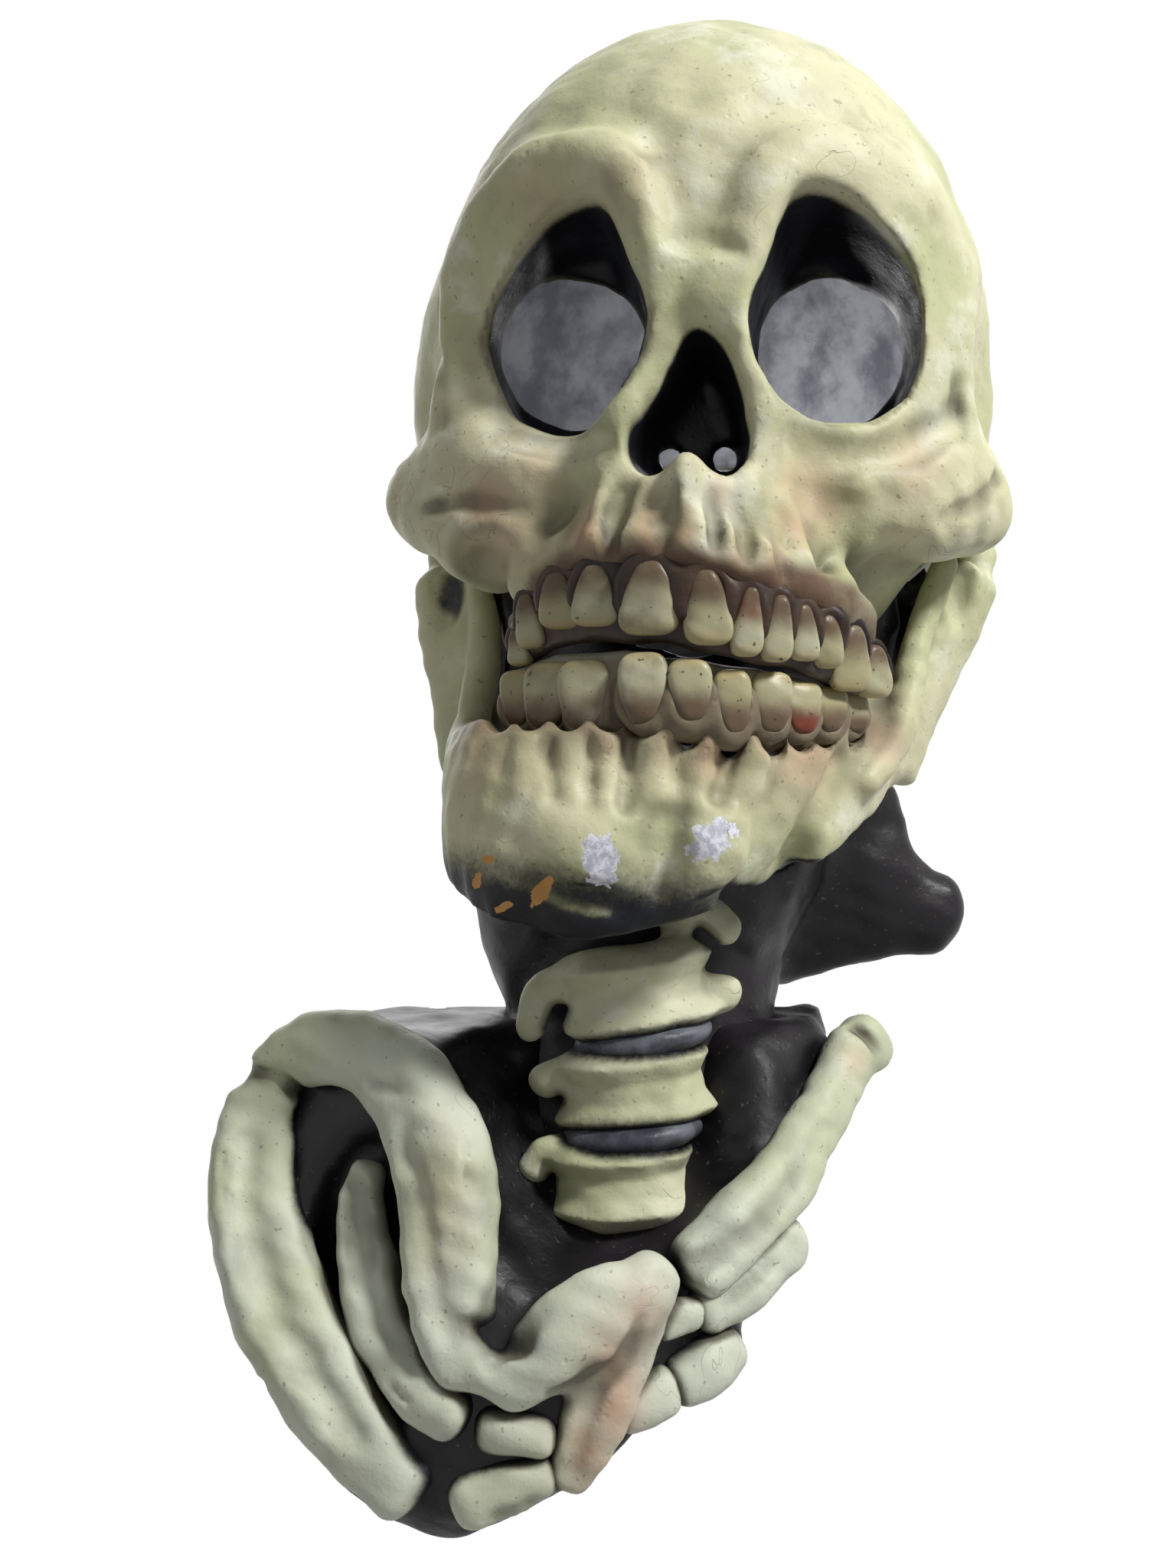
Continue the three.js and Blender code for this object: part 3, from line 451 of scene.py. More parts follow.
# %% Tables of the skull
orbit_outline = [(.34, .3), (.27, .28), (.232, .222), (.195, .12), (.153, .02), (.15, -.066), (.19, -.152),
                 (.27, -.226), (.383, -.255), (.5, -.247), (.61, -.19), (.662, -.1), (.675, -.016),
                 (.645, .12), (.57, .21), (.45, .283)]
left_orbit_outline = [(.35, .29), (.28, .285), (.23, .22), (.18, .12), (.145, .036), (.138, -.032),
                      (.168, -.134), (.235, -.23), (.335, -.288), (.448, -.28), (.556, -.232), (.62, -.152),
                      (.658, -.05), (.658, .036), (.618, .12), (.54, .2), (.448, .26)]
nose_outline = [(0.005, -0.02), (-0.07, -0.08), (-0.135, -0.18), (-0.21, -0.31), (-0.19, -0.38),
                (-0.13, -0.41), (-0.075, -0.39), (-0.01, -0.355), (0.055, -0.4), (0.11, -0.415),
                (0.165, -0.35), (0.15, -0.24), (0.1, -0.11)]
eye_spot = (0.39, -0.5, 0)
ridges = [  # places, upright half widths, depth half widths, blend
    ([(0.72, -0.5, 0.17), (0.63, -0.62, 0.3), (0.48, -0.74, 0.37), (0.3, -0.83, 0.37), (0.15, -0.88, 0.27),
      (0.09, -0.88, 0.15)], (7, 8, 9, 9, 8, 6), (7, 8, 9, 9, 9, 7), 11),
    ([(0.7, -0.55, 0.24), (0.725, -0.54, 0.06), (0.73, -0.55, -0.22)], (8, 7.5, 10), (9, 8, 9), 8),
    ([(0.72, -0.6, -0.26), (0.52, -0.72, -0.34), (0.34, -0.78, -0.345), (0.16, -0.82, -0.26)],
     (10, 8, 8, 8), (9, 8, 8, 8), 8),
    ([(0.3, -0.7, -0.42), (0.54, -0.66, -0.4), (0.72, -0.54, -0.37), (0.84, -0.28, -0.3),
      (0.88, 0.04, -0.27)],
     (17, 23, 24, 17, 12), (10, 14, 17, 11, 9), 9),
    ([(0.08, -0.88, 0.14), (0.17, -0.86, -0.14), (0.24, -0.84, -0.34), (0.25, -0.84, -0.54)],
     (6, 6, 8, 9), (7, 7, 8, 8), 7)]
furrows = [  # places, half width, blend
    ([(0.1, -0.92, 0.4), (0.2, -0.905, 0.49), (0.34, -0.86, 0.51), (0.42, -0.82, 0.5)], (2, 4, 4, 2), 10),
    ([(0.64, -0.77, -0.47), (0.56, -0.82, -0.45), (0.46, -0.88, -0.42)], (1.5, 3, 2), 6)]
upper_arch = dict(mid=0.027, half=0.55, front=-1.0, end=-0.64, root=1)
lower_arch = dict(mid=-0.02, half=0.52, front=-0.98, end=-0.64, root=-1)
# each tooth: share of the arch, height, width and height against a plain tooth
upper_teeth = [(-.92, -.79, .8, .6), (-.86, -.73, 1.05, .85), (-.7, -.69, 1.4, .86), (-.52, -.688, 1.5, .9),
               (-.26, -.7, 1.75, 1.08), (.02, -.725, 1.42, 1.08), (.22, -.757, .96, 1.0),
               (.37, -.769, .98, .98), (.51, -.776, .98, .82), (.64, -.79, 1.02, .82),
               (.79, -.825, 1.45, 1.0), (.95, -.85, 1.3, .82)]
lower_teeth = [(-.88, -.922, 1.15, .88), (-.71, -.921, 1.6, 1.0), (-.52, -.924, 1.5, 1.05),
               (-.22, -.912, 1.35, 1.05), (.03, -.918, 1.2, .92), (.25, -.944, 1.05, .95),
               (.46, -.942, 1.2, .9), (.64, -.95, 1.25, .78), (.81, -.952, 1.2, .72), (.98, -.95, 1.2, .65)]
slit_shares = [-1, -.7, -.5, -.26, .02, .25, .5, .8, 1]
slit_above = (slit_shares, [-.86, -.8, -.79, -.805, -.828, -.848, -.862, -.9, -.92])
slit_below = (slit_shares, [-.856, -.815, -.817, -.82, -.84, -.857, -.868, -.905, -.925])
print("teeth in the tables:", len(upper_teeth), "and", len(lower_teeth))

# %% [markdown]
# The teeth stand on two arches. A place on an arch is a share from -1 at one end to 1 at the other, so a
# tooth is one row of four numbers: its share, its height, and how wide and tall it is against a plain
# tooth.

# %% The arches of the teeth
tooth_half = (5.9, 4.4, 10.5)  # mm: half the width, depth and height of a plain tooth
tooth_share = 0.082  # the same half height as a share of the skull


def arch_place(arch, share, height, inset=0.0):
    bow = 1 - abs(share) ** 2.2
    depth = arch["end"] + (arch["front"] - arch["end"]) * bow
    return straight((arch["mid"] + share * (arch["half"] - inset), depth + inset, height))


def arch_facing(arch, share):
    run = arch_place(arch, share + 0.05, 0) - arch_place(arch, share - 0.05, 0)
    out = np.cross(run, (0, 0, 1))
    out = out / np.linalg.norm(out) + np.array((0, -1, 0))
    return out / np.linalg.norm(out)


print("the upper arch is", round(2 * upper_arch["half"] * skull_half[0]), "mm across")

# %% [markdown]
# The outer form comes first, without its pockets. It is kept, because the paint later needs to know how
# deep a point lies behind this surface.

# %% The skull's outer form
def cranium(grow=0.0):
    return grown(skull_lump((-0.03, 0.05, 0.02), (1, 0.95, 1), taper=0.12), grow)


side_hollows = [((1.2, -0.42, -0.2), (0.4, 0.44, 0.6), 12), ((0.98, -0.28, -0.92), (0.46, 0.62, 0.5), 10)]


def skull_form():
    clay = Clay().add(cranium()).add(skull_lump((0, -0.4, 0.3), (0.68, 0.47, 0.5)), 26)
    for side in (1, -1):
        for (x, y, z), radii, blend in side_hollows:
            clay.carve(skull_lump((side * x, y, z), radii), blend)
    clay.add(skull_lump((0, -0.6, -0.49), (0.4, 0.37, 0.33)), 10)
    clay.add(skull_lump((-0.6, -0.6, -0.54), (0.15, 0.17, 0.1)), 14)
    for places, wides, thicks, blend in ridges:
        for set_of in both_sides(places):
            clay.add(limb([on_skull(p) for p in set_of], wides, thicks, full=0.86), blend)
    for side in (1, -1):
        clay.carve(skull_lump((side * 0.6, -0.8, -0.61), (0.1, 0.2, 0.09)), 10)
        clay.carve(skull_lump((side * 0.36, -1.02, -0.4), (0.1, 0.2, 0.15)), 12)
    for places, wides, blend in furrows:
        for set_of in both_sides(places):
            clay.carve(limb([on_skull(p) for p in set_of], wides), blend)
    clay.add(skull_lump((0.03, -0.84, 0.24), (0.13, 0.06, 0.06)), 9)
    spine = [on_skull(p) for p in [(-0.02, -0.94, -0.36), (-0.03, -1.0, -0.5)]]
    clay.add(limb(spine, (5, 3), (8, 4), full=0.8), 6)
    gum = [arch_place(upper_arch, s, h + t * tooth_share + 0.045, 0.02) for s, h, w, t in upper_teeth]
    clay.add(limb(gum, (7, 7), facing=(0, 0, 1), pieces=22), 8)
    return clay


def tooth_roots(arch, teeth, reach, rise, radius):
    """The ridges that the roots raise in the bone above or below the teeth."""
    found = []
    for share, height, wide, tall in teeth[1:]:
        foot = height + arch["root"] * (tall * 0.05 + 0.01)
        a = arch_place(arch, share, foot, 0.004)
        b = arch_place(arch, share * 0.95, foot + arch["root"] * rise * 0.5, 0.03)
        c = arch_place(arch, share * 0.86, foot + arch["root"] * rise, reach)
        found.append(limb([a, b, c], (radius * wide ** 0.6, radius * 0.8 * wide ** 0.4, 2),
                          (radius * wide ** 0.4, radius * 0.9 * wide ** 0.4, 2), pieces=6))
    return found


outer_skull = skull_form()
for ridge in tooth_roots(upper_arch, upper_teeth, 0.05, 0.12, 5.4):
    outer_skull.add(ridge, 2.5)
print("forms in the skull before its strokes:", len(outer_skull.steps))

# %% [markdown]
# The folds of the brow and the ridges over the teeth are drawn with strokes, as a sculptor draws on clay
# before cutting it. A stroke is given in the view from the front, and the line of sight finds the surface
# under it. The eye is where the camera stands later.

# %% Strokes drawn in the view
eye_at = np.array([-31.0, -575.0, -145.0])  # mm
view_scale = 1991  # points of the view for one unit across at one unit away: a 35 mm lens on a 36 mm frame
view_middle = (768, 1024)


def seen_at(px, py, depth):
    """The place, in mm, that shows at a point of the view when it lies at a depth."""
    scale = view_scale / (depth - eye_at[1])
    x, z = (px - view_middle[0]) / scale + eye_at[0], eye_at[2] - (py - view_middle[1]) / scale
    return np.array([x, depth, z])


def seen_on(clay, px, py, lift=0.0):
    """Where the line of sight through a point of the view first meets the clay, lifted towards the eye."""
    depths = np.arange(-140.0, 90.0, 1.0)
    line = np.array([seen_at(px, py, depth) for depth in depths])
    inside = np.flatnonzero(clay.distance(line) < 0)
    met = depths[inside[0]] if len(inside) else -60.0
    return seen_at(px, py, met - lift)


def stroke(clay, sign, spots, wides, lift, blend):
    """Presses a groove, or lays a ridge, along a line drawn in the view."""
    form = limb([seen_on(clay, px, py, lift) for px, py in spots], wides, pieces=8)
    return clay.carve(form, blend) if sign < 0 else clay.add(form, blend)


print("the view takes in", round(2 * view_middle[1] / view_scale * -eye_at[1]), "mm of height at the origin")

# %% Strokes on the skull
skull_strokes = [  # sign, points of the view, half widths, lift, blend
    (1, [(926, 340), (918, 380), (906, 424)], (5, 7, 10), -3.4, 5),
    (-1, [(868, 315), (914, 309), (972, 330)], (2, 2.8, 2), 1.4, 4),
    (-1, [(872, 210), (896, 284)], (4, 5), 6, 12), (-1, [(936, 180), (926, 276)], (4, 5), 6.4, 12),
    (-1, [(655, 566), (720, 576), (795, 574)], (2.5, 4, 3), 2, 6),
    (-1, [(1034, 576), (1085, 596), (1181, 586), (1262, 548)], (3, 4, 4, 3), 2.2, 7),
    (-1, [(545, 664), (618, 655), (690, 668)], (1.4, 2, 1.4), 0.9, 3),
    (-1, [(1225, 676), (1280, 655), (1308, 615)], (1.6, 2.2, 1.6), 1, 3),
    (-1, [(1251, 490), (1252, 540), (1262, 577)], (1.4, 2, 1.6), 1, 2),
    (-1, [(582, 330), (573, 400), (572, 480), (576, 560)], (1.4, 2, 2, 1.6), 1.2, 2),
    (1, [(750, 718), (774, 676), (798, 628)], (5, 5, 3), -2, 4),
    (1, [(836, 714), (838, 666), (850, 622)], (4.2, 3.8, 2), -2, 3.5),
    (1, [(905, 706), (911, 650), (914, 612)], (4.5, 4, 3), -1.8, 3.5),
    (1, [(956, 716), (951, 670), (942, 630)], (4, 3.6, 2), -2, 3.5),
    (1, [(1002, 730), (990, 680), (974, 636)], (4.2, 3.6, 2), -2, 3.5),
    (1, [(1054, 752), (1036, 700), (1012, 650)], (4.4, 4, 2), -2, 3.5),
    (-1, [(728, 722), (745, 680), (765, 630)], (3.4, 4, 3), 1.6, 5),
    (-1, [(800, 724), (804, 670), (820, 622)], (2.2, 2.8, 1.6), 1, 3),
    (-1, [(868, 724), (868, 676), (876, 632)], (2, 2.6, 1.6), 1, 3),
    (-1, [(934, 724), (932, 680), (928, 636)], (2, 2.6, 1.6), 1, 3),
    (-1, [(980, 738), (971, 690), (956, 640)], (2, 2.6, 1.6), 1, 3),
    (-1, [(1030, 762), (1014, 704), (994, 652)], (2, 2.8, 1.6), 1, 3),
    (1, [(1104, 776), (1082, 730), (1052, 680)], (4.4, 4, 2), -2, 3.5)]
print("strokes on the skull:", len(skull_strokes))

# %% [markdown]
# The eye sockets and the nose are pockets with a drawn outline. They are made now and carved later,
# because the paint has to know the face without them.

# %% The skull with its strokes
for row in skull_strokes:
    stroke(outer_skull, *row)
orbits = [pocket(outline, side, -0.95, -0.5, 0.78, eye_spot)
          for outline, side in ((orbit_outline, 1), (left_orbit_outline, -1))]
nose = pocket(nose_outline, 1, -1.0, -0.62, 0.62, (0, -0.62, -0.24))
print("forms in the skull:", len(outer_skull.steps))

# %% [markdown]
# ## The jaw
# The jaw hangs a little skewed from the hinge between its condyles. It is a bowed body, two branches and
# two bulges at the chin.

# %% The jaw's form
def slid_below_teeth(form, middle):
    """The jaw's body narrows and slides to one side below the teeth."""
    def distance(points):
        q = points.copy()
        drop = np.clip(-0.98 - q[:, 2] / skull_half[2], -0.08, 0.7)
        q[:, 0] = middle + (q[:, 0] + 0.4 * skull_half[0] * drop - middle) / (1 - 0.52 * drop)
        return form.distance(q)
    return Form(form.low - [30, 0, 0], form.high, distance)

# %% Strokes on the jaw
branches = {-1: [(-0.86, -0.2, -0.52), (-0.73, -0.26, -0.82), (-0.6, -0.34, -1.1)],
            1: [(0.9, -0.2, -0.52), (0.78, -0.26, -0.82), (0.66, -0.34, -1.1)]}
grooves = [[(716, 958), (718, 1000), (722, 1046)], [(771, 958), (771, 1000), (771, 1052)],
           [(821, 958), (819, 1004), (816, 1058)], [(880, 962), (882, 1004), (888, 1050)],
           [(950, 970), (948, 1008), (944, 1050)], [(1019, 978), (1012, 1012), (1002, 1052)]]
roots_below = [([(741, 954), (745, 1000), (750, 1050)], (4.4, 3.4, 1.6)),
               ([(796, 952), (794, 1000), (790, 1052)], (4.6, 3.4, 1.6)),
               ([(848, 952), (850, 1000), (853, 1054)], (4.6, 3.4, 1.6)),
               ([(914, 958), (914, 1004), (914, 1058)], (4.8, 3.6, 1.6)),
               ([(985, 968), (981, 1006), (974, 1050)], (4.4, 3.4, 1.6)),
               ([(685, 954), (682, 1000), (680, 1040)], (4, 3.2, 1.6))]
jaw_strokes = [(-1, line, (2.6, 2.2, 1.2), 1.1, 3.5) for line in grooves]
jaw_strokes += [(1, line, wides, -1.8, 3.5) for line, wides in roots_below]
jaw_strokes += [
    (-1, [(869, 1062), (872, 1120), (878, 1172)], (3, 3.4, 3), 1.4, 7),
    (-1, [(1106, 990), (1074, 1062), (1014, 1136)], (3, 4, 3), 2.2, 8),
    (-1, [(700, 1140), (745, 1172), (800, 1180)], (2, 3, 2), 1.4, 6),
    (-1, [(940, 1170), (1000, 1160), (1040, 1135)], (2, 3, 2), 1.6, 6)]
print("strokes on the jaw:", len(jaw_strokes))

# %% The jaw's clay
def jaw_form():
    body = [(0.62, -0.2, -1.08), (0.6, -0.52, -1.15), (0.43, -0.82, -1.2), (0, -0.92, -1.23),
            (-0.43, -0.82, -1.2), (-0.58, -0.52, -1.15), (-0.58, -0.2, -1.08)]
    heights = np.array((0.14, 0.18, 0.24, 0.265, 0.24, 0.18, 0.14)) * skull_half[2]
    bow = limb([on_jaw(p) for p in body], (7, 9, 10, 11.5, 10, 9, 7), heights, facing=(0, 0, 1), full=0.86,
               pieces=26)
    clay = Clay().add(slid_below_teeth(bow, on_jaw((0, 0, -1.23))[0]))
    for side, places in branches.items():
        top, middle, low = places
        plate = [on_jaw(p) for p in places]
        clay.add(limb(plate, (14, 16, 18), (5, 5.6, 7), facing=(side * 0.66, -0.75, 0)), 7)
        outer = [(top[0] + side * 0.02, -0.1, -0.43), (middle[0] + side * 0.06, -0.16, -0.74)]
        clay.add(limb([on_jaw(p) for p in outer], (7, 7), (7, 5.6)), 7)
        fore = 0.14 if side < 0 else 0.1
        front = [(top[0] - side * fore, -0.33, -0.5), (middle[0] - side * (fore - 0.04), -0.38, -0.76),
                 (middle[0] - side * (fore - 0.02), -0.5, -1.0), (low[0] - side * 0.06, -0.66, -1.14)]
        clay.add(limb([on_jaw(p) for p in front], (4.5, 5.5, 5.5, 4)), 6)
        clay.carve(lump(on_jaw((top[0] - side * 0.035, -0.28, -0.6)), (7, 7, 15)), 4)
        clay.add(lump(on_jaw((side * 0.16, -0.95, -1.27)), (15, 9.3, 14)), 7)
    corner = [(72, -44, -128), (54, -70, -143), (32, -94, -157)]
    clay.add(limb(corner, (7, 8, 9), (17, 18, 17), facing=(0, 0, 1), full=0.86), 8)
    clay.carve(lump(on_jaw((0, -1.07, -1.09)), (50, 12, 9)), 12)
    clay.carve(limb([on_jaw(p) for p in [(0, -1.07, -1.2), (0, -1.07, -1.32)]], (2.5, 3)), 6)
    clay.carve(limb([(-51, -72, -124), (-66, -62, -144), (-79, -46, -166)], (2.5, 3, 2)), 5)
    for (s0, h0, *_), (s1, h1, *_) in zip(lower_teeth, lower_teeth[1:]):
        share, foot = (s0 + s1) / 2, (h0 + h1) / 2 - 0.05
        tip = arch_place(lower_arch, share, foot + 0.03, 0.025)
        base = arch_place(lower_arch, share, foot - 0.08, 0.035)
        clay.add(limb([base, tip], (5, 2), (5, 1.6), pieces=4), 4)
    return clay


jaw = jaw_form()
for row in jaw_strokes:
    stroke(jaw, *row)
sockets = ((650, 941), (692, 939), (744, 939), (795, 941), (844, 947), (901, 963), (956, 974), (1009, 972),
           (1046, 966), (1080, 960), (1116, 957))
for px, py in sockets:
    jaw.carve(lump(seen_on(jaw, px, py + 8) + (0, 5, 2.6), (4.6, 12, 4.8)), 2)
notch = lump((-82.5, -41, -76), (7.5, 12, 15))
jaw.carve(notch, 3)
print("forms in the jaw:", len(jaw.steps))

# %% [markdown]
# The jaw swings on its hinge. Whatever it passes through has to be cut out of the pieces round it, or
# they clip in a pose. Three places of the jaw, each a little grown, stand for the whole swing.

# %% The room that the jaw needs
jaw_stops, jaw_gap = (0, 4, 8), 1.2  # degrees, mm


def swung(form, degrees):
    """The form opened by some degrees about the hinge."""
    c, s = math.cos(math.radians(degrees)), math.sin(math.radians(degrees))

    def distance(points):
        q = points - hinge
        y, z = q[:, 1] * c + q[:, 2] * s, -q[:, 1] * s + q[:, 2] * c
        return form.distance(np.stack([q[:, 0], y, z], 1) + hinge)
    return Form(form.low - 25, form.high + 25, distance)


jaw_sweep = [grown(swung(jaw, degrees), jaw_gap) for degrees in jaw_stops]
print("places of the jaw:", len(jaw_sweep))

# %% [markdown]
# ## Hollowing the skull
# The mask is worn, so it is a shell. The inside is the braincase less the wall, and it keeps a wall round
# the eye sockets and the nose. The sleeve and the swinging jaw need their room as well.

# %% Sleeve stations and hollow
sleeve_table = [(.08, -.16, -.56, 1.3, .86), (.07, -.12, -.9, 1.3, 1), (.03, -.04, -1.16, 1.12, 1.1),
                (-.09, 0, -1.42, 1.26, 1.12), (-.13, 0, -1.62, 1.08, 1), (-.1, -.03, -1.78, .96, .96),
                (-.16, -.06, -2.1, 1.2, 1.08)]


def sleeve_stations(grow=0.0):
    """The table in mm, each oval made wider and deeper by the same amount."""
    return [(*straight(place), 52 * wide + grow, 50 * deep + grow) for *place, wide, deep in sleeve_table]


hollow = Clay().add(cranium(-wall))
for form in (*orbits, nose):
    hollow.carve(grown(form, wall), 4)
for side in (1, -1):
    for (x, y, z), radii, _ in side_hollows:
        hollow.carve(grown(skull_lump((side * x, y, z), radii), wall), 4)
palate = Clay().add(skull_lump((0, -0.44, -0.66), (0.4, 0.4, 0.34))).carve(grown(nose, wall))
print("forms in the hollow:", len(hollow.steps) + len(palate.steps))

# %% [markdown]
# The wearer sees through round holes at the back of the eye sockets and breathes through two nostrils.
# Boolean modifiers would cut them one after another. In clay each is one more carving step, and its rim
# is rounded.

# %% The skull's shell
eye_hole, nostril_hole, wall_side = 25, 4.5, 126.7  # mm: two radii, and a place just short of the wall
skull = outer_skull.copy()
for form in orbits:
    skull.carve(form, 3)
skull.carve(nose, 2)
skull.carve(hollow).carve(palate).carve(oval_sleeve(sleeve_stations(0.3)))
for form in jaw_sweep:
    skull.carve(form)
for side in (1, -1):
    eye = on_skull((side * eye_spot[0], eye_spot[1], eye_spot[2]))
    skull.carve(bar_y(eye[0], eye[2], eye_hole, -94, -31), 1)


def nose_lining(p):
    """A thin skin round the pocket of the nose, a little below the face."""
    outside = nose.distance(p)
    return np.maximum(np.maximum(outside - 1.6, -outside), outer_skull.distance(p) + 2.5)


skull.add(Form(nose.low - 5, nose.high + 5, nose_lining), 1.5)
for side in (1, -1):
    nostril = on_skull((side * 0.08, -0.62, -0.3))
    skull.carve(bar_y(nostril[0], nostril[2], nostril_hole, -96, -59))
skull.carve(half_space(1, wall_side))
print("forms in the shell:", len(skull.steps))

# %% [markdown]
# ## Hanger pad
# A block of latex at the back of the skull holds the strap and the ring, and its flat back lies on the
# wall. The strap lies in a channel. A cube with a Bevel modifier would do for the block, but the cast
# should look like the rest of the latex, so it is clay as well.

# %% The hanger pad
pad_low, pad_high = (np.array(corner) * 1000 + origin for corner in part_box("hanger_pad"))


def box_form(low, high):
    low, high = np.array(low, float), np.array(high, float)
    return Form(low, high, lambda p: np.maximum(low - p, p - high).max(1))


skull.carve(box_form(pad_low + 0.8, pad_high + [-0.8, 30, -0.8]))
pad_middle, pad_half, pad_edge = (pad_low + pad_high) / 2, (pad_high - pad_low) / 2, 3.0


def rounded_block(p):
    q = np.abs(p - pad_middle) - pad_half + pad_edge
    return np.linalg.norm(np.maximum(q, 0), axis=1) + np.minimum(q.max(1), 0) - pad_edge


channel_half, channel_depth, channel_below, channel_open = 15.0, 8.0, 20.0, 20
channel_low = (pad_middle[0] - channel_half, pad_high[1] - channel_depth, pad_middle[2] - channel_below)
channel_high = (pad_middle[0] + channel_half, pad_high[1] + channel_open, pad_high[2] + channel_open)
pad = Clay().add(Form(pad_low, pad_high, rounded_block)).carve(box_form(channel_low, channel_high))
pad.carve(cranium(-wall - 2.5))

# %% The first casts
pad_piece = mould("hanger_pad_cast", pad, 1.2)
skull_piece = mould("skull_shell", skull, 1.9, 0.6)
jaw_piece = mould("jaw_bone", jaw, 1.5, 0.7)

# %% [markdown]
# ## Bones of the chest
# The bones lie on the bib, and the bib is pressed out under them. Both are made from one table, so they
# fit. A curve with a bevel would give round bones; a limb with a flatness gives the flat ones of a chest.

# %% Bones of the chest
bone_table = {  # places as shares of the chest, half widths in mm, flatness
    "collar_bone_left": ([(-.76, -.64, -.005), (-.64, -.7, .085), (-.479, -.78, .09), (-.34, -.92, .008),
                          (-.243, -1.1, -.131), (-.22, -1.22, -.282), (-.213, -1.31, -.413),
                          (-.174, -1.38, -.514), (-.116, -1.43, -.58)],
                         (10, 11.5, 13, 14.5, 16, 16.5, 14.5, 12.5, 11), .76),
    "manubrium_wing": ([(-.115, -1.43, -.585), (0, -1.46, -.52), (.126, -1.45, -.455), (.254, -1.38, -.39),
                        (.329, -1.3, -.345)], (10, 11.5, 12.5, 11, 8), .8),
    "sternum": ([(.272, -1.32, -.42), (.217, -1.38, -.527), (.154, -1.41, -.638), (.109, -1.42, -.74),
                 (.07, -1.42, -.81)], (8, 9.5, 10.5, 9, 6), .75),
    "outer_rib_left": ([(-.765, -.64, -.02), (-.775, -.72, -.128), (-.76, -.86, -.284), (-.698, -1.02, -.43),
                        (-.595, -1.17, -.572), (-.472, -1.28, -.696), (-.347, -1.36, -.8),
                        (-.281, -1.4, -.845)],
                       (10, 14.5, 16, 16.5, 16, 15, 13, 11), .66),
    "outer_cartilage_left": ([(-.2, -1.42, -.85), (-.053, -1.43, -.8), (.054, -1.43, -.77)],
                             (9, 8.5, 6), .85),
    "inner_rib_left": ([(-.443, -.88, -.162), (-.466, -.97, -.258), (-.44, -1.08, -.38), (-.384, -1.19, -.51),
                        (-.28, -1.36, -.61), (-.16, -1.46, -.66)], (5.5, 8.5, 10, 10, 9.5, 9), .8),
    "inner_cartilage_left": ([(-.15, -1.4, -.67), (-.06, -1.44, -.68), (.05, -1.44, -.7)], (7.5, 7, 6), .9),
    "collar_bone_right": ([(.375, -1.22, -.39), (.506, -1.1, -.3), (.631, -.93, -.222), (.724, -.75, -.141),
                           (.807, -.55, -.057), (.894, -.35, .033), (.985, -.18, .075)],
                          (11, 11.5, 10.5, 9.5, 9, 10, 10.5), .85),
    "first_rib_right": ([(.4, -1.2, -.475), (.543, -1.08, -.41), (.69, -.92, -.32)], (8, 10, 9), .85),
    "first_cartilage_right": ([(.3, -1.3, -.48), (.348, -1.28, -.462), (.42, -1.22, -.46)], (5, 6, 5.5), .85),
    "second_rib_right": ([(.33, -1.27, -.62), (.425, -1.2, -.59), (.52, -1.1, -.55)], (8.5, 9.5, 7.5), .85),
    "second_cartilage_right": ([(.2, -1.38, -.635), (.27, -1.34, -.632), (.36, -1.28, -.615)],
                               (7.5, 8.5, 8), .85)}


def chest_limb(name, shrink=0.0, shift=(0, 0, 0)):
    places, halves, flat = bone_table[name]
    halves = np.array(halves) - shrink
    return limb([on_chest(p) + shift for p in places], halves, halves * flat, full=0.8, pieces=18)


print("bones on the chest:", len(bone_table))

# %% [markdown]
# The bib starts as an egg. Two hollows and a few flat cuts give it its outline. This outer form is needed
# before the sleeve, because the sleeve ends inside it.

# %% The bib's outer form
egg = lump(chest_middle, (104, 72, 138), lean=(0.12, 0.55))


def cut_plane(share, degrees):
    """A half space whose outward normal stands at an angle below the horizontal."""
    spot, turn = on_chest(share), math.radians(degrees)
    normal = np.array((math.sin(turn), 0, -math.cos(turn)))
    return Form(*EVERYWHERE, lambda p: -(p - spot) @ normal)


trough = lump(on_chest((0.18, -1.57, 0.33)), chest_half * (0.59, 1.32, 0.78))
recess = lump(on_chest((-0.46, -1.35, -0.34)), chest_half * (0.23, 0.6, 0.4))
bib_outer = Clay().add(egg).carve(trough, 15).carve(recess, 8)
bib_outer.carve(half_space(2, chest_middle[2] + 0.12 * chest_half[2]), 9)
bib_edges = [((0.475, 0, -0.61), 33.5), ((0.6, 0, -0.476), 57), ((-0.72, 0, 0.03), 210)]
for share, degrees in bib_edges:
    bib_outer.carve(cut_plane(share, degrees), 8)
for name in bone_table:
    bib_outer.carve(chest_limb(name, -1.0, (0, -14, 0)), 5)
for name in bone_table:
    bib_outer.add(chest_limb(name, 2.5, (0, 6, 0)), 5)
print("forms in the bib:", len(bib_outer.steps))

# %% [markdown]
# ## Neck sleeve
# The sleeve is a skin of black latex round the wearer's neck. It bulges into a lobe at one side, and
# black webs close the gaps behind the teeth. It is carved by the skull, the bib and the swing of the jaw,
# so that it meets them without cutting into them.

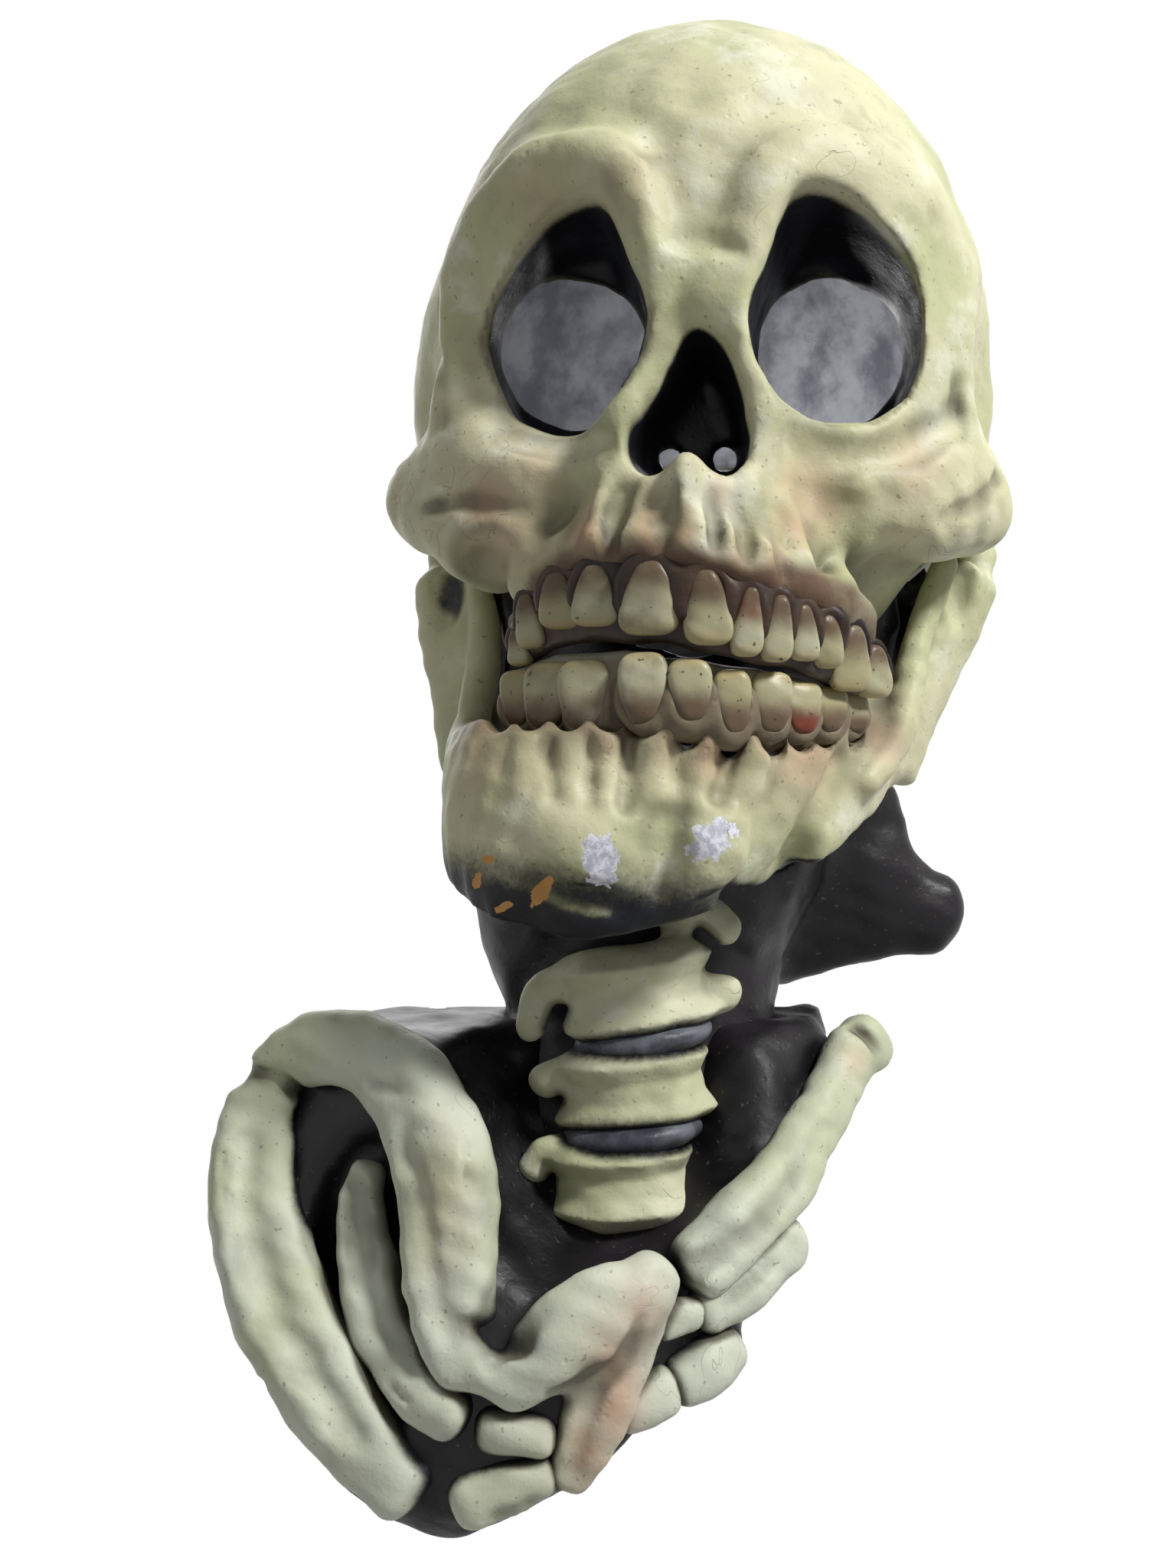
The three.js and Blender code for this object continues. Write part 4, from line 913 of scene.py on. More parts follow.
# %% The sleeve
sleeve = Clay()
nape = [straight(p) for p in [(0.5, 0.2, -1.06), (0.66, 0.2, -1.24), (0.68, 0.2, -1.44)]]
lobe = [straight(p) for p in [(0.22, 0.2, -1.58), (0.6, 0.2, -1.5), (1.04, 0.18, -1.54)]]
sleeve.add(limb(nape, (16, 20, 20), (14, 14, 13)))
sleeve.add(limb(lobe, (29, 25, 14), (16, 14, 10)), 16)
for side in (1, -1):
    sleeve.add(lump(on_jaw((side * 0.57, -0.3, -0.82)), (15, 9, 36)), 5)
    sleeve.add(lump(on_jaw((side * 0.66, -0.1, -0.76)), (24, 5, 40)), 5)
sleeve.carve(grown(outer_skull, 0.3))
sleeve.add(oval_sleeve(sleeve_stations()), 14)
sleeve.carve(oval_sleeve(sleeve_stations(-5.0), reach=20))
sleeve.carve(grown(bib_outer, -4.6))
for form in jaw_sweep:
    sleeve.carve(form)
sleeve.carve(grown(outer_skull, -3.0))
sleeve_piece = mould("sleeve_skin", sleeve, 1.9, 0.7)

# %% [markdown]
# ## Spine
# Three vertebrae with two grey discs sit on the front of the sleeve. Each is a waisted drum with wings at
# its sides. A lathe or a Screw modifier would make the drum, but the wings have to grow out of it with a
# fillet.

# %% Vertebrae and discs
spine_places = np.array([(-14.3, -55, -215), (-15.4, -57.5, -246.8), (-19.8, -63.75, -277)])
spine_scales, spine_tilts = (1.05, 1.0, 0.95), (9, 6, 3)
drum_height, drum_width, drum_depth = 15.2, 28, 22  # mm, half sizes
vertebra_names, disc_names = ("top", "middle", "low"), ("upper", "lower")
wings = [
    [([-0.6, -1.15, -1.42], [0.4, 0.25, -0.75]), ([0.4, 0.9, 1.3], [1.2, 1.6, 0.8]),
     ([0.5, 0.9, 1.2], [-0.3, -0.3, -0.6])],
    [([-0.5, -0.9, -1.2], [0.4, 0.4, 0.1]), ([-0.4, -0.7, -0.9], [-0.4, -0.7, -0.9])],
    [([-0.5, -0.9, -1.15], [0.6, 0.6, 0])]]


def tilted(form, centre, degrees):
    """The form turned about the front-to-back line through its centre, its right side up."""
    c, s = math.cos(math.radians(degrees)), math.sin(math.radians(degrees))

    def distance(points):
        q = points - centre
        x, z = q[:, 0] * c + q[:, 2] * s, q[:, 2] * c - q[:, 0] * s
        return form.distance(np.stack([x, q[:, 1], z], 1) + centre)
    return Form(form.low - 9, form.high + 9, distance)


def vertebra(index):
    centre, scale = spine_places[index], spine_scales[index]
    half = scale * drum_height
    waist = np.array([0.72, 0.98, 0.84, 0.8, 0.94, 0.72]) * scale * drum_width
    levels = np.linspace(-half, half, 6)

    def distance(p):
        q = p - centre
        r = np.interp(q[:, 2], levels, waist)
        from_side = np.hypot(q[:, 0], q[:, 1] * drum_width / drum_depth) - r
        return -soft_min(-from_side * 0.85, half - np.abs(q[:, 2]), 5)
    drum = Form(centre - [30, 30, half], centre + [30, 30, half], distance)
    clay = Clay().add(tilted(drum, centre, spine_tilts[index]))
    for reach, drop in wings[index]:
        places = [centre + np.array([r * drum_width, 0, d * 15]) for r, d in zip(reach, drop)]
        clay.add(tilted(limb(places, (6.5, 6, 6), (6, 5.5, 5.25), pieces=8), centre, spine_tilts[index]), 4)
    return clay


vertebrae, vertebra_pieces = [vertebra(i) for i in range(3)], []
for name, clay in zip(vertebra_names, vertebrae):
    for form in jaw_sweep:
        clay.carve(form)
    clay.carve(oval_sleeve(sleeve_stations(-1.0)))
    vertebra_pieces.append(mould("vertebra_" + name + "_bone", clay, 1.1, 0.9))
disc_half = (24, 20.2, 8)
disc_middles = (spine_places[:-1] + spine_places[1:]) / 2
discs = [tilted(lump(disc_middles[i], disc_half), spine_places[i], spine_tilts[i]) for i in range(2)]
disc_pieces = [mould(f"disc_{name}_pad", Clay().add(form), 1.3, 0.5) for name, form in zip(disc_names, discs)]

# %% [markdown]
# ## Chest
# The bib is a thin black skin. On it the collar bone, the breast bone and the outer rib run into each
# other without a seam, so they are one piece of clay. The other ribs are separate.

# %% Bib and bones
bib = bib_outer.copy()
bib.carve(grown(bib_outer, -5))
bib.carve(oval_sleeve(sleeve_stations(-5.0), reach=-12))
bib.carve(half_space(1, chest_middle[1] + 0.25 * chest_half[1]))
bib_piece = mould("bib_skin", bib, 2.0, 0.8)
front_names = ("collar_bone_left", "manubrium_wing", "sternum", "outer_rib_left")
front_clay = Clay()
for name in front_names:
    front_clay.add(chest_limb(name), 7)
bone_clays = {"front_bones": front_clay}
for name in bone_table:
    if name not in front_names:
        bone_clays[name] = Clay().add(chest_limb(name))

# %% Strokes on the bones
bone_strokes = {
    "front_bones": [
        (-1, [(322, 1392), (362, 1412), (404, 1426)], (2, 3, 2), 1.4, 3),
        (1, [(536, 1391), (583, 1486), (617, 1600), (622, 1714)], (3, 4, 4, 3), -2.4, 6),
        (-1, [(520, 1480), (543, 1562), (556, 1657), (584, 1753)], (2, 3, 3, 2), 1.6, 6),
        (-1, [(636, 1785), (654, 1740), (662, 1700)], (2, 3, 2), 1.4, 4),
        (1, [(668, 1764), (726, 1700), (806, 1668)], (3, 3.6, 3), -2, 5),
        (-1, [(838, 1722), (806, 1788), (716, 1822)], (1.6, 2.4, 1.6), 1.2, 3),
        (-1, [(783, 1815), (764, 1867), (748, 1924)], (1.6, 2.6, 1.6), 1.2, 4),
        (1, [(306, 1480), (302, 1600), (340, 1733), (436, 1870)], (3, 4, 4, 3), -3, 7),
        (-1, [(322, 1480), (324, 1600), (372, 1740), (466, 1880)], (2, 3, 3, 2), 1.8, 7),
        (-1, [(292, 1500), (290, 1570)], (1.2, 1.2), 0.6, 1.5),
        (-1, [(318, 1795), (345, 1810)], (1.2, 1.2), 0.5, 1.5),
        (-1, [(370, 1880), (412, 1928)], (1.2, 1.4), 0.5, 2),
        (-1, [(478, 1418), (520, 1424)], (1.4, 1.2), 0.6, 2),
        (-1, [(604, 1480), (612, 1540)], (1.2, 1.2), 0.5, 2)],
    "inner_rib_left": [
        (-1, [(462, 1540), (478, 1680), (540, 1790)], (2, 2.6, 2), 1.4, 5),
        (-1, [(505, 1810), (540, 1835)], (1.2, 1.4), 0.5, 2)],
    "collar_bone_right": [
        (-1, [(905, 1660), (1000, 1580), (1072, 1470)], (2, 3, 2), 1.6, 6),
        (1, [(880, 1660), (960, 1592), (1040, 1500), (1100, 1390)], (3, 3.6, 3.6, 3), -2.2, 6),
        (-1, [(1110, 1340), (1150, 1372)], (1.6, 2), 0.8, 3)],
    "first_rib_right": [(-1, [(940, 1712), (1010, 1650)], (1.8, 1.8), 1, 3)],
    "outer_cartilage_left": [(-1, [(640, 1990), (700, 1962)], (1.8, 1.8), 1, 3)]}
for name, rows in bone_strokes.items():
    for row in rows:
        stroke(bone_clays[name], *row)
bone_pieces = {name: mould(name + "_cast", clay, 1.6, 0.8) for name, clay in bone_clays.items()}

# %% [markdown]
# ## Gums
# The teeth stand in a band of latex above and below the slit of the mouth. Round each tooth's neck the
# latex swells into a dark arch. The band is clay, so that the arches run into it.

# %% Gum bands
def slit_line(points, line):
    share = (points[:, 0] / skull_half[0] - 0.01) / upper_arch["half"]
    return np.interp(share, line[0], line[1]) * skull_half[2]


def gum_band(arch, teeth, line, keep):
    """A band from the necks of the teeth to the slit; keep is 1 above the slit and -1 below it."""
    shares = np.linspace(-1, 1, 15)
    rows = sorted((s, h, t) for s, h, w, t in teeth)
    necks = [r[1] + keep * (tooth_share * r[2] + 0.035) for r in rows]
    far = np.interp(shares, [r[0] for r in rows], necks)
    near = np.interp(shares, line[0], line[1]) - keep * 0.02
    middles = [arch_place(arch, s, (a + b) / 2, 0.04) for s, a, b in zip(shares, far, near)]
    halves = np.abs(far - near) / 2 * skull_half[2]
    band = Clay().add(limb(middles, (4.5, 4.5), halves, facing=(0, 0, 1), full=0.7, pieces=24))
    for share, height, wide, tall in teeth:
        out, middle = arch_facing(arch, share), arch_place(arch, share, height)
        side = np.cross((0, 0, 1), out)
        turns = np.radians(np.linspace(-25, 205, 7))
        across, up = 4.6 * wide + 0.6, tooth_half[2] * tall + 0.8
        arc = [middle + out * 0.6 + side * math.cos(a) * across
               + np.array((0, 0, keep * max(math.sin(a), -0.3) * up)) for a in turns]
        band.add(limb(arc, (1.2, 2.0, 2.3, 2.0, 1.2), pieces=10), 3.5)
    band.carve(Form(*EVERYWHERE, lambda p: keep * (p[:, 2] - slit_line(p, line))), 1.5)
    return band


upper_band = gum_band(upper_arch, upper_teeth, slit_above, 1)
lower_band = gum_band(lower_arch, lower_teeth, slit_below, -1)
upper_band_piece = mould("upper_gum_band", upper_band, 1.1, 0.7)
lower_band_piece = mould("lower_gum_band", lower_band, 1.1, 0.7)

# %% [markdown]
# ## Teeth
# Each tooth is an insert of its own, with round corners and a narrow root. Clay would take a fine grid
# for so small a thing. A cube with a grid on its faces, rounded and tapered by a formula, gives an even
# mesh, and each vertex knows how near the root it is.

# %% Teeth
corner_power = 3.4  # 2 would give a ball, and a large number a box


def tooth(name, arch, share, height, wide, tall):
    bm = bmesh.new()
    bmesh.ops.create_cube(bm, size=2)
    bmesh.ops.subdivide_edges(bm, edges=bm.edges, cuts=11, use_grid_fill=True)
    facing = arch_facing(arch, share)
    side = np.cross((0, 0, 1), facing)
    middle = arch_place(arch, share, height)
    upper = arch["root"] > 0
    lean = rng.uniform(-0.1, 0.1)
    roots = []
    for v in bm.verts:
        p = np.array(v.co)
        p = p / (np.sum(np.abs(p) ** corner_power) ** (1 / corner_power))
        root = (p[2] * arch["root"] + 1) / 2
        roots.append(root)
        width = tooth_half[0] * wide * (1 - (0.55 if upper else 0.38) * root ** (1.3 if upper else 1.8))
        depth = tooth_half[1] * (0.66 + 0.34 * root)
        place = middle + side * (p[0] * width + lean * p[2] * 8) - facing * p[1] * depth
        place = place + np.array((0, 0, 1)) * p[2] * tooth_half[2] * tall
        place = place + facing * hand_marks(place[None] * 1.6)[0] * 0.5
        v.co = (place - origin) / 1000
    bmesh.ops.recalc_face_normals(bm, faces=bm.faces)
    mesh = bpy.data.meshes.new(name)
    bm.to_mesh(mesh)
    bm.free()
    mesh.shade_smooth()
    piece = into_scene(name, mesh)
    store(piece, "root", np.array(roots))
    store(piece, "tone", np.full(len(roots), rng.uniform()))
    store(piece, "sore", np.full(len(roots), 1.0 if name in sore_teeth else 0.0))
    return piece


def store(piece, name, values):
    """Keeps one number for each vertex, which the paint reads."""
    attribute = piece.data.attributes.new(name, "FLOAT", "POINT")
    attribute.data.foreach_set("value", np.clip(values, -1, 1).astype(np.float32))


sore_teeth = ("upper_tooth_7_crown", "upper_tooth_12_crown", "lower_tooth_8_crown")
upper_pieces = [tooth(f"upper_tooth_{i + 1}_crown", upper_arch, *row) for i, row in enumerate(upper_teeth)]
lower_pieces = [tooth(f"lower_tooth_{i + 1}_crown", lower_arch, *row) for i, row in enumerate(lower_teeth)]
print("teeth:", len(upper_pieces) + len(lower_pieces))

# %% [markdown]
# ## Where the paint goes
# The maker sprays black into the eye sockets and the nose and dabs pink on the cheeks. The creases and
# hollows are darkened, partly as a dark wash and partly as painted shade. The clay knows where those
# places are: a point that is lifted off the surface and lies close to other clay is in a crease. Each
# place is kept as a number on the vertices.

# %% Reading the clay at the vertices
def surface(piece):
    count = len(piece.data.vertices)
    spots, normals = np.empty(count * 3, np.float32), np.empty(count * 3, np.float32)
    piece.data.vertices.foreach_get("co", spots)
    piece.data.vertices.foreach_get("normal", normals)
    return spots.reshape(-1, 3).astype(float) * 1000 + origin, normals.reshape(-1, 3).astype(float)


def smooth(value, low, high):
    t = np.clip((value - low) / (high - low), 0, 1)
    return t * t * (3 - 2 * t)


def closeness(form, points, normals, reach):
    """Zero on a flat or bulging place, one in a tight crease."""
    return np.clip(1.15 - form.distance(points + normals * reach) / reach, 0, 1)


def spots_mask(points, spots):
    """Soft dabs: each spot is a place, three half sizes and a strength."""
    total = np.zeros(len(points))
    for place, radii, strength in spots:
        q = (points - np.array(place, float)) / np.array(radii, float)
        total = np.maximum(total, strength * np.exp(-(q * q).sum(1)))
    return total


def dab(px, py, depth, size, strength=1.0, tall=1.0):
    return seen_at(px, py, depth), (size, 30, size * tall), strength


def bone_marks(piece, solid, black=None, lining=None, pale=0.0, **masks):
    points, normals = surface(piece)
    # Painted shade: crease and shade say how closely other clay hems a point in, at 4 mm and at 15 mm.
    store(piece, "crease", closeness(solid, points, normals, 4.0))
    store(piece, "shade", closeness(solid, points, normals, 15.0))
    store(piece, "pale", np.full(len(points), pale))
    nothing = np.zeros(len(points))
    for name in ("blush", "gum"):
        store(piece, name, masks[name](points) if name in masks else nothing)
    store(piece, "black", nothing if black is None else black(points, normals))
    store(piece, "lining", nothing if lining is None else lining(points, normals))


print("places can be read on", len(skull_piece.data.vertices), "vertices of the skull")

# %% [markdown]
# On the skull the black starts a little behind the rim of each socket and grows with the depth. The
# lining behind the sockets is bare latex, which the light from behind turns grey. Inside, below the
# braincase, the hollow is painted black: painted shade where the slit of the mouth looks in. The cheeks
# and the upper lip have pink dabs.

# %% Marks on the skull
face = outer_skull.copy()
for form in orbits:
    face.carve(form, 3)
face.carve(nose, 2)


def skull_black_and_shade(points, normals):
    depth = -outer_skull.distance(points, 12)
    total = np.zeros(len(points))
    for form in orbits:
        top = smooth(points[:, 2], 5, 32)
        near = smooth(form.distance(points), 2.5, 0.5)
        total = np.maximum(total, near * smooth(depth, 0.8 + 1.2 * top, 4.5 + 5 * top))
    near = smooth(nose.distance(points), 2.2, 0.6)
    inner = smooth(np.minimum(np.abs(hollow.distance(points)), np.abs(palate.distance(points))), 2.2, 1.2)
    # Painted shade: the inside below the braincase is black, where the slit of the mouth looks in.
    total = np.maximum(total, inner * smooth(depth, 2.5, 4) * smooth(-points[:, 2], 28, 40))
    return np.maximum(total, near * smooth(depth, 0.5, 4.5))


def skull_lining(points, normals):
    inner = np.minimum(np.abs(hollow.distance(points)), np.abs(palate.distance(points)))
    deep = smooth(-outer_skull.distance(points), 2.5, 4)
    away = np.minimum(smooth(np.minimum(orbits[0].distance(points), orbits[1].distance(points)), 1.5, 3.5),
                      smooth(nose.distance(points), 1.5, 3.5))
    return smooth(inner, 2.2, 1.2) * deep * away * smooth(points[:, 2], -42, -30)


def above_necks(points, arch, teeth):
    """How far a point lies above the line through the necks of the teeth, in mm."""
    shares = [row[0] * arch["half"] + arch["mid"] for row in teeth]
    necks = [(row[1] + arch["root"] * tooth_share * row[3]) * skull_half[2] for row in teeth]
    return points[:, 2] - np.interp(points[:, 0] / skull_half[0], shares, necks)


def skull_gum(points):
    above = above_necks(points, upper_arch, upper_teeth) - 7 * smooth(points[:, 0], 10, 40)
    return smooth(above, 9, 1.5) * smooth(-points[:, 1], 62, 75)


cheek_dabs = [dab(640, 655, -95, 9, .8), dab(665, 700, -95, 14, .5), dab(1060, 650, -105, 12, .8),
              dab(1035, 690, -105, 9, .7), dab(1180, 620, -80, 12, .5),
              dab(760, 700, -120, 6, .9, 2), dab(845, 700, -125, 5, .8, 2.4),
              dab(890, 700, -125, 4, .7, 2), dab(960, 740, -122, 5, .5, 2), dab(1010, 745, -118, 6, .6, 2),
              dab(940, 640, -122, 4, .5, 1.5), dab(700, 620, -95, 10, .4), dab(700, 250, -100, 12, .3),
              dab(830, 250, -108, 10, .35), dab(610, 250, -60, 12, .3)]
bone_marks(skull_piece, face, skull_black_and_shade, skull_lining,
           blush=lambda p: spots_mask(p, cheek_dabs) * smooth(-p[:, 1], 20, 50), gum=skull_gum)
bone_marks(pad_piece, pad, lining=lambda p, n: smooth(-n[:, 1], 0.3, 0.7))
print(f"skull marks, {time.time() - start:.0f} s")

# %% [markdown]
# The jaw is black on the faces that look down or back and in the dent of its branch, which is partly the
# maker's spray and partly painted shade; it is brown where it meets the teeth, and has pink dabs. Two
# white chips and five orange flakes are kept as places, because they are smaller than the mesh can carry.

# %% Marks on the jaw
chin_chips = [(seen_on(jaw, 785, 1128), (5.2, 12, 7.2), 8), (seen_on(jaw, 930, 1098), (7.6, 12, 5.4), 25)]
flakes = [((638, 1122), 1.9, 1.2, 10), ((624, 1150), 1.4, 2.4, -20), ((706, 1166), 2, 4.4, -35),
          ((657, 1184), 3.8, 1.2, 32), ((730, 1221), 2.8, 1.2, 20)]
flake_marks = [(seen_on(jaw, *spot), (wide, 9, tall), turn) for spot, wide, tall, turn in flakes]
jaw_dabs = [dab(930, 975, -118, 9, .7, 1.4), dab(1050, 985, -100, 13, .8), dab(995, 960, -110, 6, .6, 1.5),
            dab(870, 960, -122, 6, .5, 2), dab(640, 985, -90, 8, .7, 1.6), dab(790, 960, -120, 7, .4, 1.5),
            dab(705, 985, -110, 8, .4, 1.5), dab(1150, 960, -70, 9, .5, 1.6)]


def jaw_black_and_shade(points, normals):
    # Painted shade: black on faces that look down, on faces that look back, and in the dent of the notch.
    z = points[:, 2] + 0.12 * (points[:, 0] + 20)
    low = smooth(-z, 160, 186) * smooth(-normals[:, 2], -0.6, 0.2)
    under = smooth(-normals[:, 2], 0.55, 0.95) * smooth(-points[:, 2], 150, 165)
    inside = smooth(normals[:, 1], 0.2, 0.7) * smooth(-points[:, 2], 100, 112)
    notch_shade = smooth(notch.distance(points), 2, -0.2)
    return np.maximum.reduce([low, under, inside * 0.8, notch_shade * 0.9])


def jaw_gum(points):
    above = above_necks(points, lower_arch, lower_teeth)
    return 0.75 * smooth(above, -11, 3) * smooth(-points[:, 1], 62, 75)


bone_marks(jaw_piece, jaw, jaw_black_and_shade, None, blush=lambda p: spots_mask(p, jaw_dabs), gum=jaw_gum)
print(f"jaw marks, {time.time() - start:.0f} s")

# %% [markdown]
# Where a bone meets the black latex, black is painted up its foot: painted shade between the bone and the
# latex. On the vertebrae the faces that look back and the edges by the discs are black too, which is
# painted shade as well. A mask painted by hand would need a new one for each bone. The distance to the
# sleeve or the bib says it for all of them.

# %% Marks on the spine and the chest
# Painted shade: the vertebrae go black near the sleeve and the discs and on faces that look back.
for piece, clay in zip(vertebra_pieces, vertebrae):
    bone_marks(piece, clay, pale=0.3, black=lambda p, n: np.maximum.reduce([
        0.95 * smooth(sleeve.distance(p), 8, 0), smooth(n[:, 1], 0.1, 0.5),
        0.9 * smooth(np.minimum(discs[0].distance(p), discs[1].distance(p)), 5.5, 0)]))
all_bones = Clay()
for clay in bone_clays.values():
    all_bones.steps += clay.steps
    all_bones.low, all_bones.high = np.minimum(all_bones.low, clay.low), np.maximum(all_bones.high, clay.high)
breast_dabs = [dab(800, 1800, -112, 9, 1, 2.2), dab(770, 1880, -112, 8, .8, 2),
               dab(835, 1700, -108, 8, .7, 1.4), dab(1110, 1378, -38, 5, .5), dab(585, 1560, -90, 8, .3, 3)]
# Painted shade: the chest bones go black near the bib.
for name, piece in bone_pieces.items():
    bone_marks(piece, all_bones, pale=1.0, black=lambda p, n: 0.95 * smooth(bib_outer.distance(p), 4.5, 0),
               blush=lambda p: spots_mask(p, breast_dabs))
print(f"bone marks, {time.time() - start:.0f} s")

# %% Marks on the gums
bands = ((upper_band_piece, upper_band, slit_above, 0.1, 0.0),
         (lower_band_piece, lower_band, slit_below, 1, 1.0))
for piece, band, line, lip, low in bands:
    points, normals = surface(piece)
    store(piece, "lip", smooth(np.abs(points[:, 2] - slit_line(points, line)), 5, 0.5) * lip)
    # Painted shade: faces that look back into the mouth are marked to go black.
    store(piece, "inside", smooth(normals[:, 1], 0.1, 0.5))
    store(piece, "low", np.full(len(points), low))
    # Painted shade: crease is how closely other clay hems a point in.
    store(piece, "crease", closeness(band, points, normals, 3.0))
print(f"gum marks, {time.time() - start:.0f} s")

# %% [markdown]
# ## Paint
# Latex paint is never even. Each material could bring its own textures, but then a change of scale is
# made many times. One node group makes the unevenness that every painted piece shares: wide blotches,
# patches, fine grain, dots, hair lines and the relief of the cast. It works in the coordinates of the
# object, in metres.

# %% Small helpers for nodes
def add_node(tree, kind, *values, **settings):
    node = tree.nodes.new("ShaderNode" + kind)
    for key, value in settings.items():
        setattr(node, key, value)
    for i, value in enumerate(values):
        if isinstance(value, bpy.types.NodeSocket):
            tree.links.new(value, node.inputs[i])
        elif value is not None:
            node.inputs[i].default_value = value
    return node


def sums(tree, operation, *values):
    return add_node(tree, "Math", *values, operation=operation).outputs[0]


def between(tree, value, low, high, start_at=0.0, end_at=1.0):
    """Turns a value smoothly from one number at the low limit to another at the high limit."""
    node = add_node(tree, "MapRange", value, low, high, start_at, end_at, interpolation_type="SMOOTHSTEP")
    return node.outputs[0]


def noise(tree, where, scale, detail=3.0, roughness=0.55, distortion=0.0):
    node = add_node(tree, "TexNoise", where)
    node.inputs["Scale"].default_value, node.inputs["Detail"].default_value = scale, detail
    node.inputs["Roughness"].default_value, node.inputs["Distortion"].default_value = roughness, distortion
    return node.outputs[0]


def paint_over(tree, factor, under, over):
    node = add_node(tree, "Mix", data_type="RGBA", clamp_factor=True)
    for name, value in (("Factor_Float", factor), ("A_Color", under), ("B_Color", over)):
        socket = next(s for s in node.inputs if s.identifier == name)
        if isinstance(value, bpy.types.NodeSocket):
            tree.links.new(value, socket)
        else:
            socket.default_value = value if isinstance(value, float) else (*value, 1)
    return next(s for s in node.outputs if s.identifier == "Result_Color")

# %% The shared surface of old latex
patterns = ("Blotch", "Patch", "Grain", "Dots", "Hairs", "Relief")
worn = bpy.data.node_groups.new("worn latex", "ShaderNodeTree")
for pattern in patterns:
    worn.interface.new_socket(pattern, in_out="OUTPUT", socket_type="NodeSocketFloat")
worn_out = worn.nodes.new("NodeGroupOutput")
where = add_node(worn, "TexCoord").outputs["Object"]
blotch = noise(worn, where, 16, 4)
patch = noise(worn, where, 42, 5, 0.6)
grain = noise(worn, where, 420, 4, 0.7)
dots = between(worn, noise(worn, where, 520, 1, 0.4), 0.71, 0.76)
hair_source = noise(worn, where, 38, 2, 0.5, 1.6)
hair_line = between(worn, sums(worn, "ABSOLUTE", sums(worn, "SUBTRACT", hair_source, 0.5)), 0.004, 0.0)
hairs = sums(worn, "MULTIPLY", hair_line, between(worn, blotch, 0.56, 0.66))
pits = add_node(worn, "TexVoronoi", where)
pits.inputs["Scale"].default_value = 170
sparse = between(worn, patch, 0.42, 0.56)
pit = sums(worn, "MULTIPLY", between(worn, pits.outputs["Distance"], 0.2, 0.05), sparse)
ripples = noise(worn, where, 95, 4, 0.55)
raised = sums(worn, "ADD", sums(worn, "MULTIPLY", ripples, 0.55), sums(worn, "MULTIPLY", grain, 0.16))
sunk = sums(worn, "ADD", sums(worn, "MULTIPLY", pit, 0.14), sums(worn, "MULTIPLY", hairs, 0.22))
relief = sums(worn, "SUBTRACT", raised, sunk)
for i, value in enumerate((blotch, patch, grain, dots, hairs, relief)):
    worn.links.new(value, worn_out.inputs[i])
print("patterns in the shared surface:", len(patterns))

# %% [markdown]
# A painter lays one thin coat over another and lets each show through in places. The class below does the
# same: a base of two tones, then coats, each with a mask that says where it stays. A mask is one of the
# shared patterns or one of the numbers that the vertices carry.

# %% Coats of paint
relief_height = 0.0016
latex_gloss = 0.22


class Paint:
    def __init__(self, name, roughness, bump=0.5, metal=0.0):
        self.material = bpy.data.materials.new(name)
        self.material.use_nodes = True
        self.tree = self.material.node_tree
        self.shader = self.tree.nodes["Principled BSDF"]
        looks = {"Roughness": roughness, "Metallic": metal, "Specular IOR Level": latex_gloss}
        for socket, value in looks.items():
            self.shader.inputs[socket].default_value = value
        self.worn = add_node(self.tree, "Group", node_tree=worn).outputs
        bumps = add_node(self.tree, "Bump")
        bumps.inputs["Strength"].default_value, bumps.inputs["Distance"].default_value = bump, relief_height
        self.tree.links.new(self.worn["Relief"], bumps.inputs["Height"])
        self.tree.links.new(bumps.outputs[0], self.shader.inputs["Normal"])

    def pattern(self, name, *limits):
        """Where a shared pattern lies between two limits."""
        return between(self.tree, self.worn[name], *limits)

    def mark(self, name, *limits):
        """A number that the vertices carry, as it is or between two limits."""
        value = add_node(self.tree, "Attribute", attribute_name=name).outputs["Fac"]
        return between(self.tree, value, *limits) if limits else value

    def sums(self, operation, *values):
        return sums(self.tree, operation, *values)

    def both(self, first, second):
        return self.sums("MULTIPLY", first, second)

    def base(self, mask, under, over):
        self.colour = paint_over(self.tree, mask, under, over)

    def coat(self, mask, over):
        self.colour = paint_over(self.tree, mask, self.colour, over)

    def two_tones(self, mask, under, over):
        return paint_over(self.tree, mask, under, over)

    def dry(self, *roughness):
        """Ends the paint job; two numbers let the roughness change from patch to patch."""
        self.tree.links.new(self.colour, self.shader.inputs["Base Color"])
        if roughness:
            self.tree.links.new(self.pattern("Patch", 0.3, 0.7, *roughness), self.shader.inputs["Roughness"])
        print("dry:", self.material.name, len(self.tree.nodes), "nodes")

# %% [markdown]
# ## Bone paint
# The real bones are a greenish cream with paler patches, pink dabs and black sprayed into the sockets
# and the nose. Dark brown in the creases is partly a wash and partly painted shade, olive grey in the wide
# hollows is painted shade, and black under the jaw and round the feet of the bones is partly spray and
# partly painted shade. Vertex paint alone would be too coarse for that, and a pattern alone would not
# know the hollows, so the numbers on the vertices are broken up by the shared patterns.

